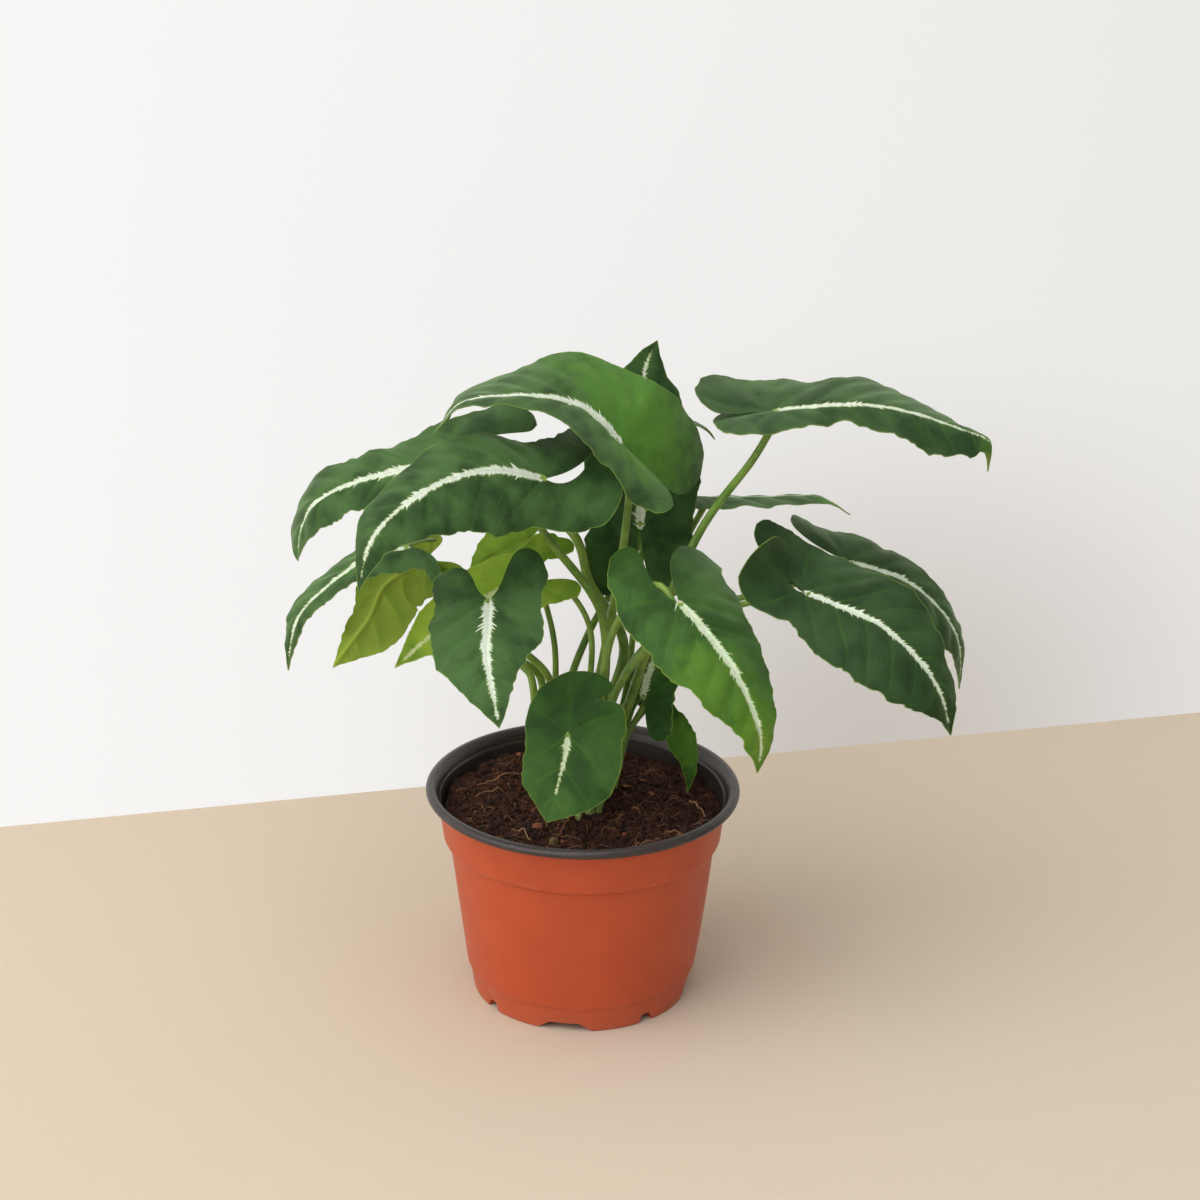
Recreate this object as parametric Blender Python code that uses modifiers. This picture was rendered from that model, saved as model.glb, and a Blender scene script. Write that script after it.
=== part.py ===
"""Potted arrowhead vine (Syngonium wendlandii) in a 13 cm nursery pot.

The plant stands on Z = 0 and the origin is under the middle of the whole plant,
leaves included.  The tables are in millimetres about the pot's own axis, and one
empty, the parent of every piece, moves that axis to POT_AXIS.  The pot wall, the
potting mix, the shoots, and one blade and one petiole for each leaf are separate
objects.
"""

import math

import bmesh
import bpy
import numpy as np
from mathutils import Vector, noise

MM = 0.001
COLLECTION = "potted_syngonium"

# Where the pot's axis stands, so that the plant's bounding box is centred
POT_AXIS = (-19.6, 12.4)

# Pot: a thermoformed cup with a rolled rim, a collar and a stepped-in foot
RIM_RADIUS = 65.0
POT_HEIGHT = 91.5
BEAD_HEIGHT = 3.8
BEAD_WIDTH = 4.8
COLLAR_BOTTOM = 69.5
COLLAR_STEP = 2.2
WALL_TOP_RADIUS = 55.5
WALL_FOOT_RADIUS = 48.2
FOOT_TOP = 12.0
FOOT_INSET = 1.0
FOOT_RADIUS = 45.4
WALL = 1.2
BASE_HEIGHT = 5.0
POT_STEPS = 56

# Openings in the foot: wide notches and narrow slots, turn about
NOTCH_ANGLES = [262.0, 352.0, 82.0, 172.0]
SLOT_ANGLES = [307.0, 37.0, 127.0, 217.0]
NOTCH_BOTTOM_WIDTH = 23.0
NOTCH_TOP_WIDTH = 12.0
SLOT_BOTTOM_WIDTH = 7.0
SLOT_TOP_WIDTH = 4.5
OPENING_HEIGHT = 3.4
OPENING_DEPTH = 9.0

# Potting mix
SOIL_LEVEL = 81.0
SOIL_LUMP = 1.6
SOIL_RINGS = 6
SOIL_STEPS = 36
CLEARANCE = 0.45

# Shoots: the short stems, set in the mix, that the petioles grow from
SHOOT_RADIUS = 7.8
SHOOT_TOP = 90.0
SHOOT_BOTTOM = 60.0
SHOOTS = {
    "shoot_left": (-14.0, 4.0),
    "shoot_middle": (3.0, -6.0),
    "shoot_right": (9.0, 14.0),
}

# Petioles
PETIOLE_RING = 5.8
PETIOLE_POINTS = 12
PETIOLE_TAPER = 0.35
PETIOLE_STOP = 1.1
PETIOLE_RISE = 3.0

# Blade outline: fractions of length and half width, tip to leaf base, then the
# outer and inner edge of the lobe behind the base
BLADE_THICKNESS = 0.7
BLADE_ROWS = 11
LOBE_ROWS = 5
BLADE_COLUMNS = 2
BLADE_EDGE = [
    (1.00, 0.00), (0.95, 0.10), (0.87, 0.28), (0.75, 0.55),
    (0.58, 0.82), (0.40, 0.97), (0.22, 1.00), (0.00, 0.93),
]
LOBE_OUTER = [(0.00, 0.93), (0.30, 0.98), (0.60, 1.00), (0.85, 0.90), (0.97, 0.72), (1.00, 0.55)]
LOBE_INNER = [(0.00, 0.00), (0.12, 0.10), (0.35, 0.20), (0.70, 0.28), (0.92, 0.38), (1.00, 0.55)]


PLAIN = (1, 1, 1, 1, 1, 1)

DARK_GREEN = (0.035, 0.10, 0.03)
MID_GREEN = (0.06, 0.20, 0.03)
YELLOW_GREEN = (0.30, 0.42, 0.05)


class Leaf:
    """One leaf: the midrib's route and how the blade lies across it.

    route   midrib points from the leaf base to the tip, mm
    width   left and right half widths, mm (left as seen looking along the midrib)
    lobes   left and right lobe lengths, mm
    roll    how far the left side is raised at the leaf base, degrees
    twist   change of roll from base to tip, degrees
    fold    left and right halves raised from the flat, degrees
    arch    how far each half curls down towards its edge, degrees
    droop   left and right lobes bent down behind the base, degrees
    splay   left and right lobes swung outwards, degrees
    tip_fold  the fold at the tip, where it differs
    fullness  above 1 for a blunter tip
    swell   left and right halves: how much wider than the plain outline they are at
            the lobe, the leaf base, a quarter, half and three quarters on, and the tip
    shoot     the shoot that it grows from
    petiole   points that its petiole passes, mm
    stem      the petiole's radius at the shoot, mm
    """

    def __init__(self, route, width, lobes, roll, twist=0, fold=(0, 0), arch=20,
                 droop=(20, 20), splay=(12, 12), tip_fold=None, fullness=1.0,
                 swell=(PLAIN, PLAIN), shoot="shoot_left", petiole=(), stem=1.9, colour=DARK_GREEN):
        self.route = route
        self.width = width
        self.lobes = lobes
        self.roll = roll
        self.twist = twist
        self.fold = fold
        self.arch = arch
        self.droop = droop
        self.splay = splay
        self.tip_fold = tip_fold or fold
        self.fullness = fullness
        self.swell = swell
        self.shoot = shoot
        self.petiole = petiole
        self.stem = stem
        self.colour = colour


LEAVES = {
    "leaf_crest": Leaf(
        [(13, -2, 241), (-1, -4, 255), (-18, -8, 261), (-37, -12, 262), (-50, -16, 260), (-60, -21, 249)],
        (22, 30), (30, 38), -34, 26, (20, 24), 20, (-10, 22), (-2, -6), tip_fold=(20, -40),
        swell=((1.15, 1.0, 1, 0.55, 0.6, 1), (1.25, 1.2, 1.05, 1, 2, 2)),
        shoot="shoot_right", petiole=[(4, 16, 118), (9, 13, 150), (15, 9, 192), (17, 4, 226)], stem=2.2),
    "leaf_front_left": Leaf(
        [(-16, -25, 233), (-35, -36, 240), (-52, -48, 240), (-68, -60, 234), (-80, -70, 223),
         (-85, -77, 204)],
        (23, 21), (28, 40), -40, 5, (-5, 4), 25, (-24, -36), (-50, 32), tip_fold=(-5, -35),
        fullness=0.87, swell=((1.1, 0.97, 1.17, 1, 1, 1), (1.05, 1, 1.1, 0.95, 1.1, 1)),
        shoot="shoot_middle",
        petiole=[(8, 1, 133), (8, -1, 160), (2, -6, 179), (-18, -18, 211)], stem=2.2),
    "leaf_back_left": Leaf(
        [(-58, 24, 225), (-68, 24, 221), (-92, 22, 215), (-109, 20, 207), (-116, 18, 196),
         (-118, 16, 182)],
        (15, 20), (30, 40), -38, 25, (0, 0), 20, (8, -10), (2, -22), fullness=2.4,
        swell=(PLAIN, (1, 1, 0.9, 0.85, 1.15, 1.5)),
        shoot="shoot_right",
        petiole=[(11, 26, 118), (16, 27, 144), (2, 23, 171), (-9, 20, 198)], stem=2.4),
    "leaf_far_left": Leaf(
        [(-71, 0, 195), (-86, -6, 193), (-100, -13, 185), (-112, -20, 175), (-116, -25, 166),
         (-118, -28, 152)],
        (15, 14), (19, 20), 6, -10, (-22, 0), 15, (25, 20), (45, 20), tip_fold=(0, 0),
        swell=((1, 1, 0.8, 0.6, 0.65, 1), PLAIN),
        petiole=[(-17, -2, 136), (-27, -8, 151), (-50, -12, 180)]),
    "leaf_yellow_hanging": Leaf(
        [(-65, 26, 180), (-75, 28, 174), (-84, 30, 166), (-90, 31, 152), (-98, 32, 140), (-106, 33, 128)],
        (10, 17), (14, 14), 75, 0, (0, 0), 15, (20, 20), colour=YELLOW_GREEN,
        swell=(PLAIN, (1, 1, 1, 1.1, 1.35, 1.3)),
        petiole=[(-21, 6, 132), (-28, 11, 142), (-57, 24, 172)]),
    "leaf_young_left": Leaf(
        [(-23, 6, 179), (-40, 2, 172), (-58, -2, 161), (-70, -5, 151), (-77, -7, 145)],
        (14, 14), (20, 20), -50, 0, (10, 10), 10, (10, 10), colour=YELLOW_GREEN,
        shoot="shoot_middle", petiole=[(2, 2, 132), (2, 4, 159), (-9, 6, 176)], stem=1.6),
    "leaf_front_centre": Leaf(
        [(-37, -45, 190), (-37, -60, 183), (-37, -70, 178), (-35, -81, 172), (-31, -95, 158)],
        (22, 23), (27, 17), 0, 0, (0, 0), 20, (-20, -20), (5, 5), fullness=0.85,
        swell=((1, 1, 0.97, 0.85, 0.72, 1), PLAIN),
        petiole=[(-13, -10, 139), (-26, -26, 163)]),
    "leaf_yellow_back": Leaf(
        [(-22, 26, 190), (-35, 22, 185), (-48, 16, 178)],
        (12, 12), (16, 16), -40, 0, (0, 0), 10, (10, 10), colour=YELLOW_GREEN,
        petiole=[(-12, 9, 144), (-18, 18, 171)], stem=1.6),
    "leaf_small_front": Leaf(
        [(-6, -40, 131), (-7, -45, 124), (-9, -50, 117), (-11, -54, 110), (-14, -58, 101)],
        (23, 17), (14, 26), 0, 0, (0, 0), 15, (-15, 20), (-5, -52),
        fullness=1.15, swell=(PLAIN, (1.2, 1.15, 1, 1, 1.1, 1.1)),
        shoot="shoot_middle", petiole=[(0, -16, 104), (-4, -28, 118)], stem=1.6, colour=MID_GREEN),
    "leaf_front_right": Leaf(
        [(37, -35, 186), (45, -43, 180), (57, -55, 168), (65, -62, 154), (69, -66, 142), (68, -68, 128)],
        (21, 23), (43, 30), 10, 0, (0, 0), 20, (10, 0), (38, -25), colour=MID_GREEN,
        swell=((1.5, 1.7, 1.05, 0.87, 0.8, 1), (1, 1.15, 1.1, 0.95, 0.85, 1)),
        shoot="shoot_middle", petiole=[(6, -14, 130), (11, -18, 165), (22, -24, 186), (30, -28, 190)]),
    "leaf_right": Leaf(
        [(87, -25, 187), (103, -35, 184), (116, -42, 180), (130, -49, 169), (139, -52, 156),
         (144, -54, 139)],
        (24, 27), (34, 19), 15, 0, (12, -5), 20, (-45, -62), (-3, -64),
        swell=((1, 1.2, 1.05, 0.9, 0.75, 1), (1, 0.65, 0.95, 1.05, 1.2, 1)),
        shoot="shoot_middle",
        petiole=[(9, -8, 124), (23, -7, 152), (46, -10, 169), (71, -18, 181)], stem=1.7),
    "leaf_right_back": Leaf(
        [(107, 10, 187), (120, 11, 183), (133, 12, 177), (147, 12, 164), (154, 11, 150), (155, 9, 132)],
        (16, 20), (28, 28), 22, 0, (9, 0), 25, (-10, 10), (10, 0),
        swell=((1.3, 1.5, 1.1, 0.65, 0.85, 1), PLAIN),
        shoot="shoot_middle",
        petiole=[(11, -1, 126), (24, 0, 152), (47, 4, 167), (72, 8, 174), (89, 10, 178)], stem=1.7),
    "leaf_top_right": Leaf(
        [(74, 0, 254), (91, 0, 256), (107, 0, 257), (125, -1, 255), (145, -2, 249), (159, -3, 243),
         (159, -4, 231)],
        (29, 20), (25, 17), 16, 0, (3, 16), 15, (-24, 2), (-33, -50), tip_fold=(-26, -44), fullness=1.3,
        swell=((1.05, 1, 0.9, 1.6, 0.45, 0.8), (1.15, 1, 0.5, 0.75, 0.95, 1.3)),
        shoot="shoot_right", petiole=[(17, 6, 120), (27, 7, 152), (46, 10, 199), (66, 4, 232)], stem=2.2),
    "leaf_edge_on": Leaf(
        [(49, 54, 199), (73, 55, 199), (97, 56, 199), (111, 57, 191)],
        (17, 15), (16, 16), -20, 0, (0, -14), 10, (10, 10),
        shoot="shoot_right", petiole=[(20, 27, 115), (29, 37, 144), (40, 48, 177)]),
    "leaf_upright_back": Leaf(
        [(22, 30, 194), (22, 33, 213), (21, 37, 233), (23, 42, 257), (28, 45, 269)],
        (23, 23), (30, 30), 0, 0, (0, 0), 15, (0, 0), (0, 0),
        swell=(PLAIN, (1, 1.06, 1.04, 1, 1.1, 1.3)),
        shoot="shoot_left", petiole=[(-7, 15, 125), (0, 22, 146), (10, 32, 163), (21, 36, 182)]),
    "leaf_small_right": Leaf(
        [(24, 14, 124), (27, 19, 134), (32, 25, 146), (38, 30, 155)],
        (9, 14), (17, 18), 0, 0, (0, 0), 10, (10, 10),
        shoot="shoot_right", petiole=[(18, 12, 108)], stem=1.5, colour=MID_GREEN),
    "leaf_hanging_tip": Leaf(
        [(29, 22, 118), (36, 19, 108), (42, 16, 98), (44, 13, 89), (44, 11, 82)],
        (8, 5), (8, 8), 40, 0, (0, 0), 10, (0, 0), colour=MID_GREEN,
        shoot="shoot_right", petiole=[(19, 20, 106)], stem=1.4),
    "leaf_behind_crest": Leaf(
        [(30, 48, 231), (42, 50, 233), (49, 50, 230), (53, 49, 226)],
        (8, 8), (10, 10), -10, 0, (0, 0), 10, (10, 10),
        shoot="shoot_right", petiole=[(17, 29, 118), (22, 41, 165), (27, 48, 212)], stem=1.6),
}


# ---------------------------------------------------------------- helpers

def smooth_route(points, count):
    """Evenly spaced points on a Catmull-Rom curve through the given points."""
    knots = np.array(points, dtype=float)
    padded = np.vstack([2 * knots[0] - knots[1], knots, 2 * knots[-1] - knots[-2]])
    dense = []
    for a, b, c, d in zip(padded, padded[1:], padded[2:], padded[3:]):
        for t in np.linspace(0, 1, 24, endpoint=False):
            dense.append(0.5 * (2 * b + (c - a) * t + (2 * a - 5 * b + 4 * c - d) * t ** 2
                                + (3 * b - a - 3 * c + d) * t ** 3))
    dense = np.array(dense + [knots[-1]])
    along = np.concatenate([[0], np.cumsum(np.linalg.norm(np.diff(dense, axis=0), axis=1))])
    even = np.linspace(0, along[-1], count)
    return np.stack([np.interp(even, along, dense[:, k]) for k in range(dense.shape[1])], 1)


def profile(knots, at):
    """Value of a smooth edge curve at the given fractions."""
    curve = smooth_route(knots, 60)
    order = np.argsort(curve[:, 0])
    return np.interp(at, curve[order, 0], curve[order, 1])


def unit(vector):
    return vector / np.linalg.norm(vector)


def turn(vector, axis, angle):
    """Vector turned about a unit axis by an angle in radians."""
    return (vector * math.cos(angle) + np.cross(axis, vector) * math.sin(angle)
            + axis * np.dot(axis, vector) * (1 - math.cos(angle)))


def midrib_frames(leaf, count):
    """Points, forward, left and up vectors along the midrib, carried without spin."""
    points = smooth_route(leaf.route, count)
    forward = np.gradient(points, axis=0)
    forward /= np.linalg.norm(forward, axis=1)[:, None]
    left = unit(np.cross((0, 0, 1), forward[0]))
    left = turn(left, forward[0], math.radians(leaf.roll))
    lefts = []
    for k, direction in enumerate(forward):
        left = unit(left - np.dot(left, direction) * direction)
        lefts.append(turn(left, direction, math.radians(leaf.twist) * k / (count - 1)))
    lefts = np.array(lefts)
    return points, forward, lefts, np.cross(forward, lefts)


def swelling(values, place):
    """Eased value between evenly spaced ones; place runs from -1 (lobe) to 4 (tip)."""
    k = min(int(place + 1), len(values) - 2)
    share = place + 1 - k
    share = share * share * (3 - 2 * share)
    return values[k] + (values[k + 1] - values[k]) * share


def flat_half(leaf, side, rows, lobe_rows, columns):
    """Flat grid of (along, across) for one half, row by row from tip to lobe end."""
    which = 0 if side > 0 else 1
    width = leaf.width[which]
    splay = math.radians(leaf.splay[which])
    across = np.linspace(0, 1, columns + 1)
    grid = []
    for fraction in 1 - np.linspace(0, 1, rows) ** 1.15:
        edge = width * profile(BLADE_EDGE, fraction ** leaf.fullness)
        edge *= swelling(leaf.swell[which], 4 * fraction)
        grid.append([(fraction, edge * share) for share in across])
    for fraction in np.sin(np.linspace(0, 1, lobe_rows + 1)[1:] * math.pi / 2):
        inner = width * profile(LOBE_INNER, fraction)
        outer = width * profile(LOBE_OUTER, fraction)
        outer *= swelling(leaf.swell[which], -min(2 * fraction, 1))
        swing = splay * fraction
        reach = leaf.lobes[which] * fraction
        row = []
        for share in across:
            out = inner + (outer - inner) * share
            row.append((-reach * math.cos(swing) + out * math.sin(swing),
                        reach * math.sin(swing) + out * math.cos(swing)))
        grid.append(row)
    return np.array(grid)


def bend_half(leaf, side, flat, rows):
    """Flat grid laid along the midrib, with fold, arch and lobe droop: points and normals."""
    which = 0 if side > 0 else 1
    stations = 41
    points, forward, left, up = midrib_frames(leaf, stations)
    base_fold, tip_fold = math.radians(leaf.fold[which]), math.radians(leaf.tip_fold[which])
    arch = math.radians(leaf.arch) / leaf.width[which]
    bend = math.radians(leaf.droop[which]) / leaf.lobes[which]
    placed = np.zeros(flat.shape[:2] + (3,))
    normals = np.zeros_like(placed)
    for i, row in enumerate(flat):
        for j, (along, across) in enumerate(row):
            if i < rows:
                place = along * (stations - 1)
                origin, side_way, rise = [
                    np.array([np.interp(place, range(stations), array[:, k]) for k in range(3)])
                    for array in (points, left, up)]
            else:
                angle = -bend * along
                back = -along if abs(angle) < 1e-6 else math.sin(angle) / bend
                down = 0 if abs(angle) < 1e-6 else (1 - math.cos(angle)) / bend
                origin = points[0] - forward[0] * back - up[0] * down
                side_way = left[0]
                rise = up[0] * math.cos(angle) - forward[0] * math.sin(angle)
            fold = base_fold + (tip_fold - base_fold) * max(along, 0) if i < rows else base_fold
            slope = fold - arch * across
            out = (math.sin(fold) - math.sin(slope)) / arch
            lift = (math.cos(slope) - math.cos(fold)) / arch
            placed[i, j] = origin + side_way * side * out + rise * lift
            normals[i, j] = rise * math.cos(slope) - side_way * side * math.sin(slope)
    return placed, normals


def half_blade(leaf, side, rows=BLADE_ROWS, lobe_rows=LOBE_ROWS, columns=BLADE_COLUMNS):
    """Points and upward normals of one half of a blade."""
    return bend_half(leaf, side, flat_half(leaf, side, rows, lobe_rows, columns), rows)


# ==== model ====

def clear_scene():
    for old in list(bpy.data.objects):
        bpy.data.objects.remove(old, do_unlink=True)


def new_collection(name):
    collection = bpy.data.collections.new(name)
    bpy.context.scene.collection.children.link(collection)
    return collection


def material(name, colour, roughness, metallic=0.0):
    made = bpy.data.materials.new(name)
    made.use_nodes = True
    shader = made.node_tree.nodes["Principled BSDF"]
    shader.inputs["Base Color"].default_value = (*colour, 1.0)
    shader.inputs["Roughness"].default_value = roughness
    shader.inputs["Metallic"].default_value = metallic
    made.diffuse_color = (*colour, 1.0)
    return made


def add_object(name, data, finish, collection):
    data.materials.append(finish)
    made = bpy.data.objects.new(name, data)
    collection.objects.link(made)
    return made


def mesh_from(name, mesh_builder, smooth=40):
    mesh = bpy.data.meshes.new(name)
    mesh_builder.to_mesh(mesh)
    mesh_builder.free()
    mesh.shade_smooth()
    mesh.set_sharp_from_angle(angle=math.radians(smooth))
    return mesh


def polyline_mesh(name, points):
    """Edges through (radius, height) points, in mm, ready for a Screw modifier."""
    builder = bmesh.new()
    verts = [builder.verts.new((radius * MM, 0, height * MM)) for radius, height in points]
    for start, end in zip(verts, verts[1:]):
        builder.edges.new((start, end))
    return mesh_from(name, builder)


def add_screw(target, steps):
    screw = target.modifiers.new("turn", "SCREW")
    screw.steps = steps
    screw.render_steps = steps
    screw.use_merge_vertices = True
    screw.merge_threshold = 0.00001
    screw.use_smooth_shade = True


# Pot

def wall_radius(height):
    """Outer radius of the tapered wall below the collar."""
    share = (height - FOOT_TOP) / (COLLAR_BOTTOM - FOOT_TOP)
    return WALL_FOOT_RADIUS + (WALL_TOP_RADIUS - WALL_FOOT_RADIUS) * share


def pot_outside():
    """(radius, height) from the top of the rolled rim down to the foot."""
    bead_bottom = POT_HEIGHT - BEAD_HEIGHT
    bead_middle = RIM_RADIUS - BEAD_WIDTH / 2
    points = []
    for angle in (90, 55, 20, -15, -50, -90):
        turn_angle = math.radians(angle)
        points.append((bead_middle + BEAD_WIDTH / 2 * math.cos(turn_angle),
                       POT_HEIGHT - BEAD_HEIGHT / 2 + BEAD_HEIGHT / 2 * math.sin(turn_angle)))
    collar_top = wall_radius(bead_bottom) + COLLAR_STEP
    points += [
        (collar_top, bead_bottom),
        (wall_radius(COLLAR_BOTTOM) + COLLAR_STEP, COLLAR_BOTTOM),
        (wall_radius(COLLAR_BOTTOM) + COLLAR_STEP * 0.4, COLLAR_BOTTOM - 1.2),
        (wall_radius(COLLAR_BOTTOM - 2.0), COLLAR_BOTTOM - 2.0),
        (wall_radius(45.0), 45.0),
        (wall_radius(FOOT_TOP), FOOT_TOP),
        (wall_radius(FOOT_TOP) - FOOT_INSET, FOOT_TOP - 1.5),
        (FOOT_RADIUS, 0.0),
    ]
    return points


def pot_inside():
    """(radius, height) from the middle of the floor up to the top of the rim."""
    floor = BASE_HEIGHT + WALL
    points = [
        (0.0, floor),
        (FOOT_RADIUS - 4.0, floor),
        (wall_radius(floor + 3.0) - WALL - FOOT_INSET, floor + 3.0),
        (wall_radius(FOOT_TOP + 1.0) - WALL, FOOT_TOP + 1.0),
        (wall_radius(45.0) - WALL, 45.0),
        (wall_radius(COLLAR_BOTTOM - 2.0) - WALL, COLLAR_BOTTOM - 2.0),
        (wall_radius(COLLAR_BOTTOM) + COLLAR_STEP - WALL, COLLAR_BOTTOM + 0.6),
        (wall_radius(POT_HEIGHT) + COLLAR_STEP - WALL, POT_HEIGHT - 1.2),
    ]
    return points


def opening_cutter(name, angle, bottom, top, collection):
    """Wedge block that opens the foot at one place, wider at the table."""
    builder = bmesh.new()
    bmesh.ops.create_cube(builder, size=1.0)
    middle = FOOT_RADIUS - OPENING_DEPTH / 2 + 1.5
    for vert in builder.verts:
        width = bottom if vert.co.z < 0 else top
        vert.co.x = middle + vert.co.x * OPENING_DEPTH
        vert.co.y *= width
        vert.co.z = -1.0 if vert.co.z < 0 else OPENING_HEIGHT
        vert.co *= MM
    mesh = mesh_from(name, builder)
    cutter = bpy.data.objects.new(name, mesh)
    cutter.rotation_euler.z = math.radians(angle)
    cutter.hide_render = True
    cutter.display_type = "WIRE"
    collection.objects.link(cutter)
    return cutter


def build_pot(finish, collection, cutters):
    underside = [(FOOT_RADIUS - 3.0, 0.0), (FOOT_RADIUS - 3.6, BASE_HEIGHT), (0.0, BASE_HEIGHT)]
    profile_points = pot_inside() + pot_outside() + underside
    pot = add_object("pot", polyline_mesh("pot", profile_points), finish, collection)
    add_screw(pot, POT_STEPS)
    for kind, angles, bottom, top in (
            ("notch", NOTCH_ANGLES, NOTCH_BOTTOM_WIDTH, NOTCH_TOP_WIDTH),
            ("slot", SLOT_ANGLES, SLOT_BOTTOM_WIDTH, SLOT_TOP_WIDTH)):
        for number, angle in enumerate(angles):
            name = f"cut_{kind}_{number}"
            cut = pot.modifiers.new(name, "BOOLEAN")
            cut.operation = "DIFFERENCE"
            cut.object = opening_cutter(name, angle, bottom, top, cutters)
    return pot


# Potting mix

def soil_height(x, y):
    """Lumpy surface of the mix, mm."""
    lumps = noise.noise(Vector((x / 14.0, y / 14.0, 3.7)))
    return SOIL_LEVEL + SOIL_LUMP * lumps


def build_soil(finish, collection, cutters):
    """Turned plug that fills the pot, with a lumpy top and a hole for each shoot."""
    inside = [(radius - CLEARANCE, height) for radius, height in pot_inside()
              if height < SOIL_LEVEL - 4]
    inside[0] = (0.0, inside[0][1] + CLEARANCE)
    inside[1] = (inside[1][0] - CLEARANCE, inside[0][1])
    builder = bmesh.new()
    rings = [(radius, height) for radius, height in inside[1:]]
    edge = wall_radius(SOIL_LEVEL) + COLLAR_STEP - WALL - CLEARANCE
    rings.append((edge - 0.4, SOIL_LEVEL - 2.0))
    top_from = len(rings)
    rings += [(edge * (SOIL_RINGS - k) / SOIL_RINGS * 0.985, None) for k in range(SOIL_RINGS)]
    loops = []
    for radius, height in rings:
        loop = []
        for step in range(SOIL_STEPS):
            angle = 2 * math.pi * step / SOIL_STEPS
            x, y = radius * math.cos(angle), radius * math.sin(angle)
            z = soil_height(x, y) if height is None else height
            loop.append(builder.verts.new((x * MM, y * MM, z * MM)))
        loops.append(loop)
    for lower, upper in zip(loops, loops[1:]):
        for step in range(SOIL_STEPS):
            after = (step + 1) % SOIL_STEPS
            builder.faces.new((lower[step], lower[after], upper[after], upper[step]))
    builder.faces.new(list(reversed(loops[0])))
    centre = builder.verts.new((0, 0, soil_height(0, 0) * MM))
    for step in range(SOIL_STEPS):
        builder.faces.new((loops[-1][step], loops[-1][(step + 1) % SOIL_STEPS], centre))
    soil = add_object("potting_mix", mesh_from("potting_mix", builder), finish, collection)
    for name, (x, y) in SHOOTS.items():
        cut = soil.modifiers.new(f"hole_{name}", "BOOLEAN")
        cut.operation = "DIFFERENCE"
        cut.object = upright_cylinder(f"hole_{name}", x, y, SHOOT_RADIUS + CLEARANCE,
                                      SHOOT_BOTTOM - CLEARANCE, SHOOT_TOP + 5)
        cut.object.hide_render = True
        cut.object.display_type = "WIRE"
        cutters.objects.link(cut.object)
    return soil


def upright_cylinder(name, x, y, radius, bottom, top):
    builder = bmesh.new()
    bmesh.ops.create_cone(builder, cap_ends=True, segments=18, radius1=radius * MM,
                          radius2=radius * MM, depth=(top - bottom) * MM)
    made = bpy.data.objects.new(name, mesh_from(name, builder))
    made.location = (x * MM, y * MM, (top + bottom) / 2 * MM)
    return made


def build_shoots(finish, collection):
    for name, (x, y) in SHOOTS.items():
        shoot = upright_cylinder(name, x, y, SHOOT_RADIUS, SHOOT_BOTTOM, SHOOT_TOP)
        shoot.data.materials.append(finish)
        collection.objects.link(shoot)


# Leaves

def build_blade(name, leaf, finish, collection):
    builder = bmesh.new()
    for side in (1, -1):
        points, _ = half_blade(leaf, side)
        verts = [[builder.verts.new(Vector(point) * MM) for point in row] for row in points]
        for upper, lower in zip(verts, verts[1:]):
            for k in range(len(upper) - 1):
                corners = [upper[k], lower[k], lower[k + 1], upper[k + 1]]
                builder.faces.new(corners if side > 0 else corners[::-1])
    bmesh.ops.remove_doubles(builder, verts=builder.verts, dist=0.00002)
    bmesh.ops.dissolve_degenerate(builder, edges=builder.edges, dist=0.00002)
    blade = add_object(name, mesh_from(name, builder, 60), finish, collection)
    solid = blade.modifiers.new("thickness", "SOLIDIFY")
    solid.thickness = BLADE_THICKNESS * MM
    solid.offset = 0.0
    return blade


def petiole_route(leaf, foot):
    """Points from the shoot to just under the leaf base."""
    points, forward, left, up = midrib_frames(leaf, 41)
    end = points[0] - up[0] * PETIOLE_STOP
    under = end - up[0] * PETIOLE_RISE
    above = (foot[0], foot[1], foot[2] + PETIOLE_RISE)
    route = smooth_route([above] + list(leaf.petiole) + [under], PETIOLE_POINTS)
    return np.vstack([foot, route, end])


def build_petiole(name, leaf, foot, finish, collection):
    curve = bpy.data.curves.new(name, "CURVE")
    curve.dimensions = "3D"
    curve.bevel_depth = MM
    curve.bevel_resolution = 2
    curve.use_fill_caps = True
    route = petiole_route(leaf, foot)
    spline = curve.splines.new("POLY")
    spline.points.add(len(route) - 1)
    for k, point in enumerate(route):
        share = k / (len(route) - 1)
        spline.points[k].co = (*(Vector(point) * MM), 1.0)
        spline.points[k].radius = leaf.stem * (1.0 - PETIOLE_TAPER * share)
    return add_object(name, curve, finish, collection)


def petiole_feet():
    """Spread each shoot's petioles round its top, in order of the way they lean."""
    feet = {}
    for shoot, (x, y) in SHOOTS.items():
        names = [name for name, leaf in LEAVES.items() if leaf.shoot == shoot]
        lean = {}
        for name in names:
            first = LEAVES[name].petiole[0]
            lean[name] = math.atan2(first[1] - y, first[0] - x)
        names.sort(key=lean.get)
        step = 2 * math.pi / len(names)
        offsets = [lean[name] - step * k for k, name in enumerate(names)]
        start = math.atan2(sum(map(math.sin, offsets)), sum(map(math.cos, offsets)))
        for k, name in enumerate(names):
            angle = start + step * k
            feet[name] = (x + PETIOLE_RING * math.cos(angle), y + PETIOLE_RING * math.sin(angle),
                          SHOOT_TOP + CLEARANCE)
    return feet


def place_on_axis(parts, cutters):
    """Parent every piece to one empty that stands on the pot's axis."""
    pieces = list(parts.objects) + list(cutters.objects)
    axis = bpy.data.objects.new("pot_axis", None)
    axis.location = (POT_AXIS[0] * MM, POT_AXIS[1] * MM, 0.0)
    parts.objects.link(axis)
    for piece in pieces:
        piece.parent = axis


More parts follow.
